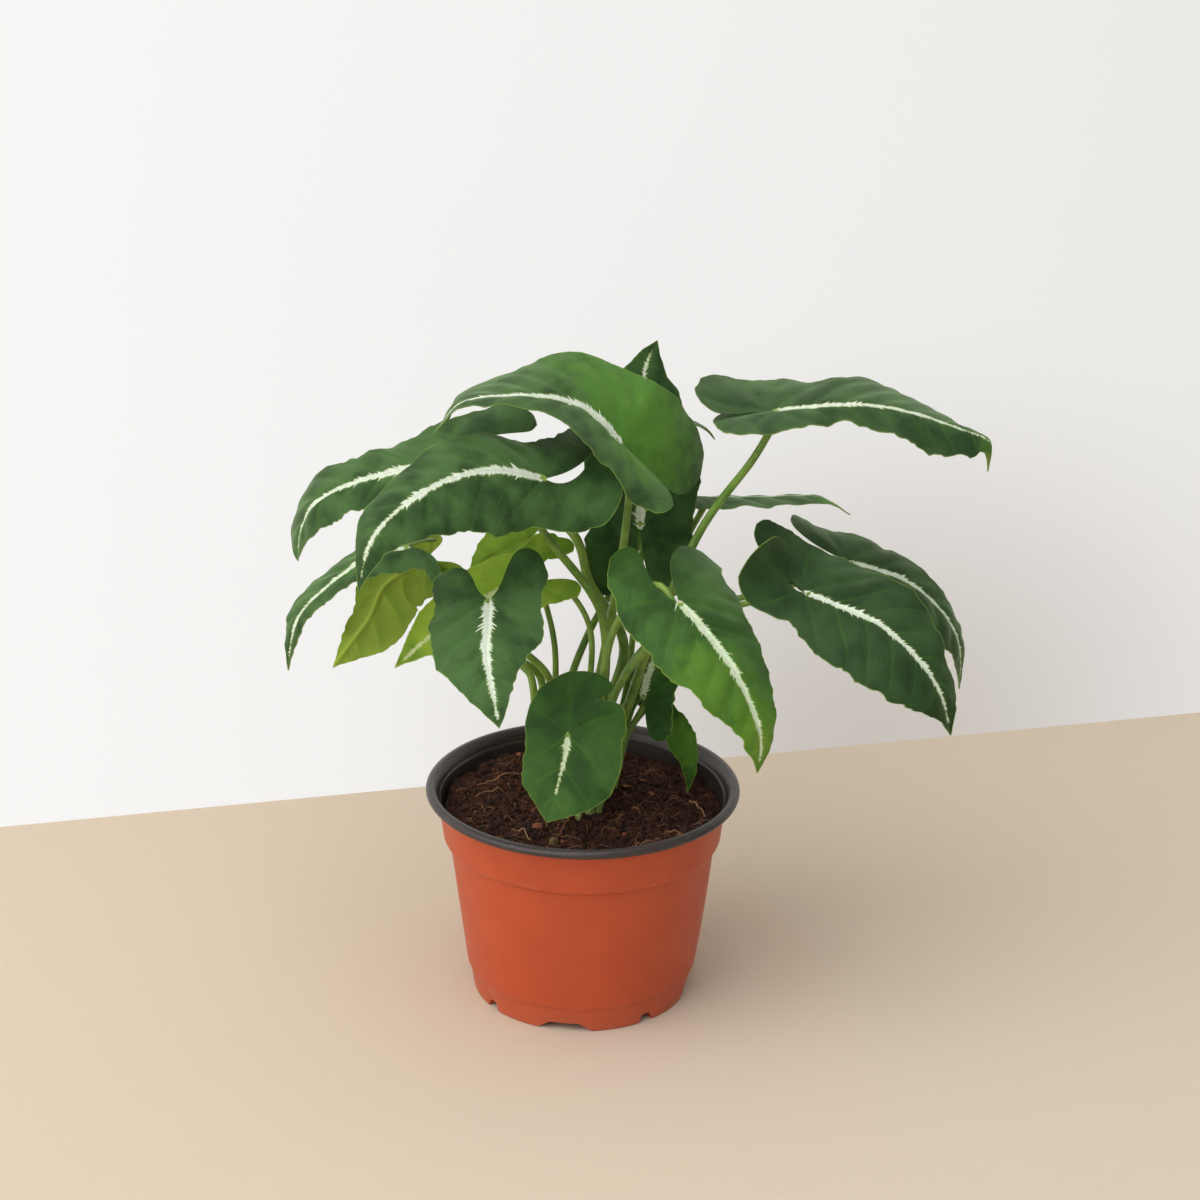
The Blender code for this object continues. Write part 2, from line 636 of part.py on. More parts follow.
def main():
    clear_scene()
    parts = new_collection(COLLECTION)
    cutters = new_collection("cutters")
    build_pot(material("terracotta_plastic", (0.52, 0.10, 0.025), 0.45), parts, cutters)
    build_soil(material("coir_mix", (0.05, 0.022, 0.012), 0.95), parts, cutters)
    build_shoots(material("shoot", (0.25, 0.36, 0.08), 0.5), parts)
    petiole_green = material("petiole", (0.12, 0.25, 0.05), 0.45)
    feet = petiole_feet()
    for name, leaf in LEAVES.items():
        finish = material(name, leaf.colour, 0.5)
        build_blade(name, leaf, finish, parts)
        build_petiole(name.replace("leaf", "petiole"), leaf, feet[name], petiole_green, parts)
    place_on_axis(parts, cutters)


main()
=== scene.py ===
# %% [markdown]
# # A potted arrowhead plant
#
# This notebook gives a *Syngonium wendlandii* its looks. The plant has eighteen
# velvety, arrow-shaped leaves on long stalks, three short stems, a plug of coir
# potting mix and a thin thermoformed pot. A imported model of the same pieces
# already exists: it fixes the size and the place of everything. Each step below
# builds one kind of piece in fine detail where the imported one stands.

# %% Load the fixed frame
import functools
import math
from dataclasses import dataclass

import bmesh
import bpy
import numpy as np
from mathutils import Matrix, Vector, noise


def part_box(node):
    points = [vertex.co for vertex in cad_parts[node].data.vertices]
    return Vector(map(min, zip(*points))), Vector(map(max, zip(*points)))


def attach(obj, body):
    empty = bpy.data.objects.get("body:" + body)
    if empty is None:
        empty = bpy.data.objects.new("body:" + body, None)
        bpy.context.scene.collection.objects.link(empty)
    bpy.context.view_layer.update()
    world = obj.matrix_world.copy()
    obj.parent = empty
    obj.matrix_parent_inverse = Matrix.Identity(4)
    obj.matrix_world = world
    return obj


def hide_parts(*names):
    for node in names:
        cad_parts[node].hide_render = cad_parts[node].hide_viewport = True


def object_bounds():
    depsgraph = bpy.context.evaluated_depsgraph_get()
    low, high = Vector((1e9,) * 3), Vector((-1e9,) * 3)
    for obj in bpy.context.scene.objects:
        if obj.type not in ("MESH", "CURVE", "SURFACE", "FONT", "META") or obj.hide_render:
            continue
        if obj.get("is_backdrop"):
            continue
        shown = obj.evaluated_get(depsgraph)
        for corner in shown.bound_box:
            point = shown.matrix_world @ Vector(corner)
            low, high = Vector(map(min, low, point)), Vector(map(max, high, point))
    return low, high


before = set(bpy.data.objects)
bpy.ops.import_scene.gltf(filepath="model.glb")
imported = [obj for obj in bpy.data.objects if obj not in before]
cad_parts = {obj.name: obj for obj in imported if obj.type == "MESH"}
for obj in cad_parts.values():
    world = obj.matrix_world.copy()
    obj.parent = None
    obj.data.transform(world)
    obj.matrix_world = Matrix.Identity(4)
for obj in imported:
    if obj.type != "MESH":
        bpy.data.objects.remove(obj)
cad_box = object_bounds()
BODY = "root"
MM = 0.001
print("pieces in the frame:", len(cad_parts))

# %% [markdown]
# ## Lengths, axis and chance
#
# The tables below are in millimetres about the pot's own axis, which is how a
# grower would measure a plant. One function moves such a point to the frame, in
# metres. The pot is the only turned piece, so the middle of its box is the axis.
# A seeded generator keeps every scattered crumb and fibre in place on each run.

# %% Pot axis and random numbers
pot_low, pot_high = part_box("pot")
AXIS = Vector(((pot_low[0] + pot_high[0]) / 2, (pot_low[1] + pot_high[1]) / 2, 0.0))
chance = np.random.default_rng(7)


def to_frame(point):
    """Millimetres about the pot's axis to metres in the frame."""
    return AXIS + Vector(point) * MM


print("pot axis, mm:", [round(value / MM, 1) for value in AXIS])

# %% [markdown]
# ## Small tools for materials
#
# Colours are written as sRGB hex values, the way a paint chart or a screen gives
# them, and Blender mixes light in linear values, so one function converts them.
# Every material here is a node tree. Adding a node always means the same three
# things: make it, set its options, and feed its sockets with values or links.
# One small function does that, which keeps the trees readable. A Mix node has a
# socket for each kind of value: on colours its factor is socket 0, its two
# colours are sockets 6 and 7, and the mixed colour is output 2. A Map Range node
# turns the range from socket 1 to socket 2 into the range from socket 3 to
# socket 4, which start as 0 and 1.

# %% Colour and node helpers


def linear(code, times=1.0):
    """Linear RGBA of an sRGB colour such as '#3b6338', made darker or brighter if asked."""
    channels = [int(code[k:k + 2], 16) / 255 for k in (1, 3, 5)]
    channels = [c / 12.92 if c <= 0.04045 else ((c + 0.055) / 1.055) ** 2.4 for c in channels]
    return tuple(c * times for c in (*channels, 1.0))


def feed(target, inputs):
    """Set a node's sockets, or link them where the value is another node's output."""
    for socket, value in inputs.items():
        if isinstance(value, bpy.types.NodeSocket):
            target.id_data.links.new(value, target.inputs[socket])
        else:
            target.inputs[socket].default_value = value


def add_node(tree, kind, inputs=None, give=None, **settings):
    """A node with its settings and its sockets set or linked; gives one output if asked."""
    made = tree.nodes.new(kind)
    for name, value in settings.items():
        setattr(made, name, value)
    feed(made, inputs or {})
    return made if give is None else made.outputs[give]


def new_material(name):
    """A node material, a node-adding call for its tree, and its shader."""
    made = bpy.data.materials.new(name)
    made.use_nodes = True
    shader = next(n for n in made.node_tree.nodes if n.type == "BSDF_PRINCIPLED")
    return made, functools.partial(add_node, made.node_tree), shader


def dress(node, shader, colour, layers, relief, uniform):
    """Lay colours over the first one, add the fine relief and set the other sockets.

    layers   pairs of (share, colour laid over)
    relief   height pattern, strength and depth in metres
    uniform  the shader's other sockets
    """
    for share, over in layers:
        colour = node("ShaderNodeMix", {0: share, 6: colour, 7: over}, 2, data_type="RGBA")
    bumps = dict(zip(("Height", "Strength", "Distance"), relief))
    feed(shader, {"Base Color": colour, "Normal": node("ShaderNodeBump", bumps, "Normal")} | uniform)


print("a mid green in linear light:", [round(v, 3) for v in linear("#3b6338")[:3]])

# %% [markdown]
# ## Camera
#
# The plant is seen from the front and a little above, as a person standing at a
# table sees it. A portrait lens of 85 mm on a 36 mm sensor keeps the leaves in
# proportion. The camera looks down by about 21 degrees and leans by less than
# one degree, as a hand-held camera does.

# %% Camera
LENS = 85.0
LOOK_DOWN = math.radians(21.39)
LEAN = math.radians(0.75)
CAMERA_PLACE = (6.0, -1065.0, 590.0)


def into_scene(name, data):
    """A new object with the given data, in the scene."""
    made = bpy.data.objects.new(name, data)
    bpy.context.scene.collection.objects.link(made)
    return made


camera_data = bpy.data.cameras.new("camera")
camera_data.lens = LENS
camera_data.sensor_width = 36.0
camera_data.sensor_fit = "HORIZONTAL"
camera = into_scene("camera", camera_data)
aim = Matrix.Rotation(math.pi / 2 - LOOK_DOWN, 4, "X") @ Matrix.Rotation(LEAN, 4, "Z")
camera.matrix_world = Matrix.Translation(to_frame(CAMERA_PLACE)) @ aim
bpy.context.scene.camera = camera
print("camera stands", round((camera.location - AXIS).length, 3), "m from the pot's foot")

# %% [markdown]
# ## Table top and wall
#
# The plant stands on a plain pale beige surface in front of a plain white wall.
# Two large flat sheets are enough. The wall is not quite square to the view, so
# it is turned a little about the vertical. Both are matt, and the table top has a
# faint grain, so that the soft shadow at the pot's foot reads as a shadow.
#
# A wall in a bright room looks almost white, brighter than the lamps on the
# plant would make it. So what the camera and mirror reflections see of it is
# mostly a glow of its own colour, whiter towards the window and dimmer low on
# the far side, where the plant keeps the light off. All other light still meets
# plain white paint. The wall's back is clear, so that the plant can be looked at
# from behind as well.

# %% Table top and wall
WALL_TURN = math.radians(14.5)
WALL_DISTANCE = 0.209
SHEET_HALF = 4.0
GLOW_SHARE = 0.8
BEIGE = "#d8c9b4"


def pale_laminate(grain_mm):
    """Matt beige table top with a faint grain."""
    made, node, shader = new_material("pale_laminate")
    place = node("ShaderNodeTexCoord", give="Object")
    grain = node("ShaderNodeTexNoise", {"Vector": place, "Scale": 1000.0 / grain_mm, "Detail": 4.0}, "Fac")
    tone = node("ShaderNodeMix", {0: grain, 6: linear(BEIGE), 7: linear(BEIGE, 0.93)}, 2,
                data_type="RGBA")
    feed(shader, {"Base Color": tone, "Roughness": 0.85})
    return made


def bright_wall():
    """White paint that the camera and reflections see at its brightness in a sunlit room."""
    made, node, shader = new_material("white_wall_paint")
    feed(shader, {"Base Color": linear("#f4f2ee"), "Roughness": 0.85})
    place = node("ShaderNodeTexCoord", give="Object")
    sideways = node("ShaderNodeSeparateXYZ", {0: place}, 0)
    shade = node("ShaderNodeMapRange", {0: sideways, 1: -0.26, 2: 0.32}, 0)
    apart = node("ShaderNodeVectorMath", {0: place, 1: (0.15, 0.0, 0.0)}, 0, operation="SUBTRACT")
    apart = node("ShaderNodeVectorMath", {0: apart, 1: (1.0, 0.0, 1.2)}, 0, operation="MULTIPLY")
    apart = node("ShaderNodeVectorMath", {0: apart}, 1, operation="LENGTH")
    dim = node("ShaderNodeMapRange", {0: apart, 1: 0.28, 2: 0.0}, 0, interpolation_type="SMOOTHSTEP")
    tone = linear("#fdfdfd")
    for share, over in ((shade, "#efefee"), (dim, "#c8c2bb")):
        tone = node("ShaderNodeMix", {0: share, 6: tone, 7: linear(over)}, 2, data_type="RGBA")
    glow = node("ShaderNodeEmission", {"Color": tone, "Strength": 1.0}, 0)
    ray = node("ShaderNodeLightPath").outputs
    seen = ray["Is Camera Ray"]
    for other in ("Is Glossy Ray", "Is Transmission Ray"):
        seen = node("ShaderNodeMath", {0: seen, 1: ray[other]}, 0, operation="ADD")
    seen = node("ShaderNodeMath", {0: seen, 1: GLOW_SHARE}, 0, operation="MULTIPLY")
    mixed = node("ShaderNodeMixShader", {0: seen, 1: shader.outputs[0], 2: glow}, 0)
    behind = node("ShaderNodeNewGeometry", give="Backfacing")
    clear = node("ShaderNodeBsdfTransparent", give=0)
    one_way = node("ShaderNodeMixShader", {0: behind, 1: mixed, 2: clear}, 0)
    feed(next(n for n in made.node_tree.nodes if n.type == "OUTPUT_MATERIAL"), {"Surface": one_way})
    return made


def flat_sheet(name, near, far, top, finish):
    """Large flat sheet from a line on the floor to a far edge at height top, m."""
    mesh = bpy.data.meshes.new(name)
    left, right = -SHEET_HALF, SHEET_HALF
    corners = [(left, near, 0), (right, near, 0), (right, far, top), (left, far, top)]
    mesh.from_pydata(corners, [], [(0, 1, 2, 3)])
    mesh.materials.append(finish)
    sheet = into_scene(name, mesh)
    sheet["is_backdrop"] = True
    return sheet


flat_sheet("table_top", -SHEET_HALF, SHEET_HALF, 0, pale_laminate(0.6))
wall = flat_sheet("wall", 0, 0, SHEET_HALF, bright_wall())
wall.location = (AXIS.x, AXIS.y + WALL_DISTANCE, 0.0)
wall.rotation_euler = (0.0, 0.0, WALL_TURN)
print("wall stands", WALL_DISTANCE, "m behind the pot")

# %% [markdown]
# ## Light
#
# Daylight from a large window comes from high on the left, and a white room
# returns it from every side. A big area lamp is the window, a weaker one in
# front is the room, and a pale world fills the rest, brighter on the window's
# side and above than on the far side. Large lamps give the soft-edged shadows
# of such a room.

# %% Window, room and sky
LAMPS = {  # place in mm, size in m, power in W and colour
    "window": ((-850, -350, 1350), 2.6, 27.0, "#fffbf4"),
    "room": ((-900, -1500, 900), 2.4, 4.0, "#f8f9ff"),
}
PLANT_MIDDLE = (0, 0, 150)
for name, (place, size, power, colour) in LAMPS.items():
    light = bpy.data.lights.new(name, "AREA")
    light.shape = "SQUARE"
    light.size = size
    light.energy = power
    light.color = linear(colour)[:3]
    lamp = into_scene(name, light)
    lamp.location = to_frame(place)
    lamp.rotation_euler = (to_frame(PLANT_MIDDLE) - lamp.location).to_track_quat("-Z", "Y").to_euler()
    print(f"{name} lamp: {power} W")

world = bpy.data.worlds.new("pale_room")
world.use_nodes = True
sky = next(n for n in world.node_tree.nodes if n.type == "BACKGROUND")
node = functools.partial(add_node, world.node_tree)
direction = node("ShaderNodeTexCoord", give="Generated")
sideways, _, upward = node("ShaderNodeSeparateXYZ", {0: direction}).outputs
height = node("ShaderNodeMath", {0: upward, 1: 0.85, 2: 0.38}, 0, operation="MULTIPLY_ADD")
bright = node("ShaderNodeMath", {0: sideways, 1: -0.48, 2: height}, 0, operation="MULTIPLY_ADD")
seen = node("ShaderNodeLightPath", give="Is Camera Ray")
shown = node("ShaderNodeMix", {0: seen, 2: bright, 3: 0.86}, 0, data_type="FLOAT")
feed(sky, {"Strength": shown, "Color": linear("#f5f6fa")})
bpy.context.scene.world = world
bpy.context.scene.view_settings.view_transform = "Standard"
print("world:", world.name)

# %% [markdown]
# ## What shapes a leaf
#
# An arrowhead leaf is one thin blade: a long front part that ends in a drip tip,
# and two lobes behind the point where the stalk meets it. Its midrib can run in
# any direction, the two halves fold up or down from it, each half curls towards
# its edge, and the lobes hang. A table with those few facts for each leaf keeps
# every leaf editable by hand, which eighteen sculpted meshes would not. Lengths
# are in mm and angles in degrees, and a pair gives the left and the right half.

# %% One leaf's facts
PLAIN = (1, 1, 1, 1, 1, 1)


@dataclass
class Leaf:
    """One leaf: the midrib's route and how the blade lies across it."""

    route: list  # midrib points from the leaf base to the tip
    width: tuple  # half widths, left as seen looking along the midrib
    lobes: tuple  # lobe lengths
    roll: float  # how far the left side is raised at the leaf base
    twist: float = 0  # change of roll from base to tip
    fold: tuple = (0, 0)  # halves raised from the flat
    arch: float = 20  # how far each half curls down towards its edge
    droop: tuple = (20, 20)  # lobes bent down behind the base
    splay: tuple = (12, 12)  # lobes swung outwards
    tip_fold: tuple = None  # the fold at the tip, where it differs
    fullness: float = 1.0  # above 1 for a blunter tip
    # how much wider than the plain outline each half is at the lobe, the leaf base,
    # a quarter, half and three quarters on, and the tip
    swell: tuple = (PLAIN, PLAIN)
    shoot: str = "shoot_left"  # the shoot that it grows from
    petiole: list = ()  # points that its stalk passes
    stem: float = 1.9  # the stalk's radius at the shoot
    colour: str = "dark"


# %% [markdown]
# ## The eighteen leaves
#
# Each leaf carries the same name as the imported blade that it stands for.

# %% Leaf table
LEAVES = {
    "leaf_crest": Leaf(
        [(13, -2, 241), (-1, -4, 255), (-18, -8, 261), (-37, -12, 262), (-50, -16, 260), (-60, -21, 249)],
        (22, 30), (30, 38), -34, 26, (20, 24), 20, (-10, 22), (-2, -6), tip_fold=(20, -40),
        swell=((1.15, 1.0, 1, 0.55, 0.6, 1), (1.25, 1.2, 1.05, 1, 2, 2)),
        shoot="shoot_right", petiole=[(4, 16, 118), (9, 13, 150), (15, 9, 192), (17, 4, 226)], stem=2.2),
    "leaf_front_left": Leaf(
        [(-16, -25, 233), (-35, -36, 240), (-52, -48, 240), (-68, -60, 234), (-80, -70, 223),
         (-85, -77, 204)],
        (23, 21), (28, 40), -40, 5, (-5, 4), 25, (-24, -36), (-50, 32), tip_fold=(-5, -35),
        fullness=0.87, swell=((1.1, 0.97, 1.17, 1, 1, 1), (1.05, 1, 1.1, 0.95, 1.1, 1)),
        shoot="shoot_middle",
        petiole=[(8, 1, 133), (8, -1, 160), (2, -6, 179), (-18, -18, 211)], stem=2.2),
    "leaf_back_left": Leaf(
        [(-58, 24, 225), (-68, 24, 221), (-92, 22, 215), (-109, 20, 207), (-116, 18, 196),
         (-118, 16, 182)],
        (15, 20), (30, 40), -38, 25, (0, 0), 20, (8, -10), (2, -22), fullness=2.4,
        swell=(PLAIN, (1, 1, 0.9, 0.85, 1.15, 1.5)),
        shoot="shoot_right",
        petiole=[(11, 26, 118), (16, 27, 144), (2, 23, 171), (-9, 20, 198)], stem=2.4),
    "leaf_far_left": Leaf(
        [(-71, 0, 195), (-86, -6, 193), (-100, -13, 185), (-112, -20, 175), (-116, -25, 166),
         (-118, -28, 152)],
        (15, 14), (19, 20), 6, -10, (-22, 0), 15, (25, 20), (45, 20), tip_fold=(0, 0),
        swell=((1, 1, 0.8, 0.6, 0.65, 1), PLAIN),
        petiole=[(-17, -2, 136), (-27, -8, 151), (-50, -12, 180)]),
    "leaf_yellow_hanging": Leaf(
        [(-65, 26, 180), (-75, 28, 174), (-84, 30, 166), (-90, 31, 152), (-98, 32, 140), (-106, 33, 128)],
        (10, 17), (14, 14), 75, 0, (0, 0), 15, (20, 20), colour="yellow",
        swell=(PLAIN, (1, 1, 1, 1.1, 1.35, 1.3)),
        petiole=[(-21, 6, 132), (-28, 11, 142), (-57, 24, 172)]),
    "leaf_young_left": Leaf(
        [(-23, 6, 179), (-40, 2, 172), (-58, -2, 161), (-70, -5, 151), (-77, -7, 145)],
        (14, 14), (20, 20), -50, 0, (10, 10), 10, (10, 10), colour="yellow",
        shoot="shoot_middle", petiole=[(2, 2, 132), (2, 4, 159), (-9, 6, 176)], stem=1.6),
    "leaf_front_centre": Leaf(
        [(-37, -45, 190), (-37, -60, 183), (-37, -70, 178), (-35, -81, 172), (-31, -95, 158)],
        (22, 23), (27, 17), 0, 0, (0, 0), 20, (-20, -20), (5, 5), fullness=0.85,
        swell=((1, 1, 0.97, 0.85, 0.72, 1), PLAIN),
        petiole=[(-13, -10, 139), (-26, -26, 163)]),
    "leaf_yellow_back": Leaf(
        [(-22, 26, 190), (-35, 22, 185), (-48, 16, 178)],
        (12, 12), (16, 16), -40, 0, (0, 0), 10, (10, 10), colour="yellow",
        petiole=[(-12, 9, 144), (-18, 18, 171)], stem=1.6),
    "leaf_small_front": Leaf(
        [(-6, -40, 131), (-7, -45, 124), (-9, -50, 117), (-11, -54, 110), (-14, -58, 101)],
        (23, 17), (14, 26), 0, 0, (0, 0), 15, (-15, 20), (-5, -52),
        fullness=1.15, swell=(PLAIN, (1.2, 1.15, 1, 1, 1.1, 1.1)),
        shoot="shoot_middle", petiole=[(0, -16, 104), (-4, -28, 118)], stem=1.6, colour="mid"),
    "leaf_front_right": Leaf(
        [(37, -35, 186), (45, -43, 180), (57, -55, 168), (65, -62, 154), (69, -66, 142), (68, -68, 128)],
        (21, 23), (43, 30), 10, 0, (0, 0), 20, (10, 0), (38, -25), colour="mid",
        swell=((1.5, 1.7, 1.05, 0.87, 0.8, 1), (1, 1.15, 1.1, 0.95, 0.85, 1)),
        shoot="shoot_middle", petiole=[(6, -14, 130), (11, -18, 165), (22, -24, 186), (30, -28, 190)]),
    "leaf_right": Leaf(
        [(87, -25, 187), (103, -35, 184), (116, -42, 180), (130, -49, 169), (139, -52, 156),
         (144, -54, 139)],
        (24, 27), (34, 19), 15, 0, (12, -5), 20, (-45, -62), (-3, -64),
        swell=((1, 1.2, 1.05, 0.9, 0.75, 1), (1, 0.65, 0.95, 1.05, 1.2, 1)),
        shoot="shoot_middle",
        petiole=[(9, -8, 124), (23, -7, 152), (46, -10, 169), (71, -18, 181)], stem=1.7),
    "leaf_right_back": Leaf(
        [(107, 10, 187), (120, 11, 183), (133, 12, 177), (147, 12, 164), (154, 11, 150), (155, 9, 132)],
        (16, 20), (28, 28), 22, 0, (9, 0), 25, (-10, 10), (10, 0),
        swell=((1.3, 1.5, 1.1, 0.65, 0.85, 1), PLAIN),
        shoot="shoot_middle",
        petiole=[(11, -1, 126), (24, 0, 152), (47, 4, 167), (72, 8, 174), (89, 10, 178)], stem=1.7),
    "leaf_top_right": Leaf(
        [(74, 0, 254), (91, 0, 256), (107, 0, 257), (125, -1, 255), (145, -2, 249), (159, -3, 243),
         (159, -4, 231)],
        (29, 20), (25, 17), 16, 0, (3, 16), 15, (-24, 2), (-33, -50), tip_fold=(-26, -44), fullness=1.3,
        swell=((1.05, 1, 0.9, 1.6, 0.45, 0.8), (1.15, 1, 0.5, 0.75, 0.95, 1.3)),
        shoot="shoot_right", petiole=[(17, 6, 120), (27, 7, 152), (46, 10, 199), (66, 4, 232)], stem=2.2),
    "leaf_edge_on": Leaf(
        [(49, 54, 199), (73, 55, 199), (97, 56, 199), (111, 57, 191)],
        (17, 15), (16, 16), -20, 0, (0, -14), 10, (10, 10),
        shoot="shoot_right", petiole=[(20, 27, 115), (29, 37, 144), (40, 48, 177)]),
    "leaf_upright_back": Leaf(
        [(22, 30, 194), (22, 33, 213), (21, 37, 233), (23, 42, 257), (28, 45, 269)],
        (23, 23), (30, 30), 0, 0, (0, 0), 15, (0, 0), (0, 0),
        swell=(PLAIN, (1, 1.06, 1.04, 1, 1.1, 1.3)),
        shoot="shoot_left", petiole=[(-7, 15, 125), (0, 22, 146), (10, 32, 163), (21, 36, 182)]),
    "leaf_small_right": Leaf(
        [(24, 14, 124), (27, 19, 134), (32, 25, 146), (38, 30, 155)],
        (9, 14), (17, 18), 0, 0, (0, 0), 10, (10, 10),
        shoot="shoot_right", petiole=[(18, 12, 108)], stem=1.5, colour="mid"),
    "leaf_hanging_tip": Leaf(
        [(29, 22, 118), (36, 19, 108), (42, 16, 98), (44, 13, 89), (44, 11, 82)],
        (8, 5), (8, 8), 40, 0, (0, 0), 10, (0, 0), colour="mid",
        shoot="shoot_right", petiole=[(19, 20, 106)], stem=1.4),
    "leaf_behind_crest": Leaf(
        [(30, 48, 231), (42, 50, 233), (49, 50, 230), (53, 49, 226)],
        (8, 8), (10, 10), -10, 0, (0, 0), 10, (10, 10),
        shoot="shoot_right", petiole=[(17, 29, 118), (22, 41, 165), (27, 48, 212)], stem=1.6),
}
print("leaves in the table:", len(LEAVES))

# %% [markdown]
# ## From a few points to a surface
#
# A midrib is a smooth curve through its points, so a Catmull-Rom curve suits it:
# it passes every point. A frame of forward, left and up vectors is carried along
# that curve without spinning, and the blade's outline, drawn flat, is wrapped
# round it. Modelling each leaf with a lattice or by sculpting would also work,
# but then a leaf's place could not be changed with a single number.

# %% Curves and frames
BLADE_EDGE = [
    (1.00, 0.00), (0.95, 0.10), (0.87, 0.28), (0.75, 0.55),
    (0.58, 0.82), (0.40, 0.97), (0.22, 1.00), (0.00, 0.93),
]
LOBE_OUTER = [(0.00, 0.93), (0.30, 0.98), (0.60, 1.00), (0.85, 0.90), (0.97, 0.72), (1.00, 0.55)]
LOBE_INNER = [(0.00, 0.00), (0.12, 0.10), (0.35, 0.20), (0.70, 0.28), (0.92, 0.38), (1.00, 0.55)]
STATIONS = 61
CURVE_STEPS = 24


def smooth_route(points, count):
    """Evenly spaced points on a Catmull-Rom curve through the given points."""
    knots = np.array(points, dtype=float)
    padded = np.vstack([2 * knots[0] - knots[1], knots, 2 * knots[-1] - knots[-2]])
    dense = []
    for a, b, c, d in zip(padded, padded[1:], padded[2:], padded[3:]):
        for t in np.linspace(0, 1, CURVE_STEPS, endpoint=False):
            dense.append(0.5 * (2 * b + (c - a) * t + (2 * a - 5 * b + 4 * c - d) * t ** 2
                                + (3 * b - a - 3 * c + d) * t ** 3))
    dense = np.array(dense + [knots[-1]])
    along = run_along(dense)
    even = np.linspace(0, along[-1], count)
    return np.stack([np.interp(even, along, dense[:, k]) for k in range(dense.shape[1])], 1)


def run_along(points):
    """Distance walked along a route at each of its points."""
    return np.concatenate([[0], np.cumsum(np.linalg.norm(np.diff(points, axis=0), axis=1))])


def profile(knots, at):
    """Value of a smooth edge curve at the given fractions."""
    curve = smooth_route(knots, 60)
    order = np.argsort(curve[:, 0])
    return np.interp(at, curve[order, 0], curve[order, 1])


def unit(vector):
    return vector / np.linalg.norm(vector)


def turn(vector, axis, angle):
    """Vector turned about a unit axis by an angle in radians."""
    return (vector * math.cos(angle) + np.cross(axis, vector) * math.sin(angle)
            + axis * np.dot(axis, vector) * (1 - math.cos(angle)))


def carried(route, start):
    """Forward directions of a route, and a direction square to it carried along without spin."""
    forward = np.gradient(route, axis=0)
    forward /= np.linalg.norm(forward, axis=1)[:, None]
    across = start(forward[0])
    sideways = []
    for direction in forward:
        across = unit(across - np.dot(across, direction) * direction)
        sideways.append(across)
    return forward, np.array(sideways)


def midrib_frames(leaf, count):
    """Points, forward, left and up vectors along the midrib, with the leaf's own twist."""
    points = smooth_route(leaf.route, count)
    forward, lefts = carried(
        points, lambda first: turn(unit(np.cross((0, 0, 1), first)), first, math.radians(leaf.roll)))
    lefts = np.array([turn(left, direction, math.radians(leaf.twist) * k / (count - 1))
                      for k, (left, direction) in enumerate(zip(lefts, forward))])
    return points, forward, lefts, np.cross(forward, lefts)


print("stations along each midrib:", STATIONS)

# %% [markdown]
# ## The living edge and the veins
#
# Up close a leaf is never a clean wrap of its outline. The margin is finely
# scalloped and ripples up and down, side veins lie in shallow grooves with the
# blade quilted between them, and the midrib stands out below as a ridge. These
# are real relief of up to two millimetres, so they go into the mesh. Only the
# skin's cells, which are far smaller, are left to the material.

# %% Scallops, ripples and veins
VEIN_SPACING = 13.0
VEIN_SLANT = 0.85
GROOVE_DEPTH = 0.40
QUILT_HEIGHT = 0.65
SKIN_THICKNESS = 0.34
RIDGE_HEIGHT = 0.95


def uneven(along, seed, *waves):
    """Sum of smooth random waves; each is (height in mm, length in mm, step of the seed)."""
    return sum(height * np.vectorize(lambda a: noise.noise(Vector((a / size, seed + step, 0.7))))(along)
               for height, size, step in waves)


def scallop(along, phase, height):
    """Outline's fine in-and-out along the margin, mm."""
    return height * uneven(along, phase, (1.3, 8.0, 0.0), (1.1, 3.6, 3.0), (0.6, 1.7, 5.0))


def ripple(along, share, phase, height):
    """How far the blade waves out of its surface towards the margin, mm."""
    return height * uneven(along, phase, (1.7, 14.0, 6.0), (0.7, 6.0, 9.0)) * share ** 2.2


def vein_phase(along, across):
    """Counts the side veins: a whole number lies on a vein."""
    blade = (along - VEIN_SLANT * across) / VEIN_SPACING
    angle = np.arctan2(-along, across + 1e-6)
    lobe = 4.2 * angle / math.pi + 0.02 * across
    return np.where(along >= 0, blade, lobe)


def relief(along, across, share, margin_mm):
    """Grooves on the side veins and the quilted blade between them, mm."""
    phase = vein_phase(along, across)
    away = np.abs(phase - np.round(phase))
    groove = -GROOVE_DEPTH * np.exp(-(away * VEIN_SPACING / 1.3) ** 2)
    quilt = QUILT_HEIGHT * np.sin(math.pi * away) ** 2
    fade = np.clip(np.abs(along) / 5.0, 0, 1) * np.clip(across / 4.0, 0, 1)
    fade *= np.clip(margin_mm / 5.0, 0, 1) * (1 - 0.45 * share)
    valley = -0.35 * np.exp(-(across / 1.2) ** 2) * (along >= 0)
    return (groove + quilt) * fade + valley


print("a side vein every", VEIN_SPACING, "mm")

# %% [markdown]
# ## Laying one half of a blade
#
# Each half is a grid of rows that run from the midrib to the margin: first the
# rows of the front part, from the tip back to the leaf base, and then the rows
# of the lobe. The grid is closer near the midrib, where the ridge is narrow.
# Besides each point's place, the function returns where the point lies on the
# flat leaf, because the colours follow that and not the bent shape.

# %% One half as a grid
BLADE_ROWS = 66
LOBE_ROWS = 28
COLUMNS = 20
SOFT_EDGE = 6.0


def swelling(values, place):
    """Eased value between evenly spaced ones; place runs from -1 (lobe) to 4 (tip)."""
    k = min(int(place + 1), len(values) - 2)
    share = place + 1 - k
    share = share * share * (3 - 2 * share)
    return values[k] + (values[k + 1] - values[k]) * share


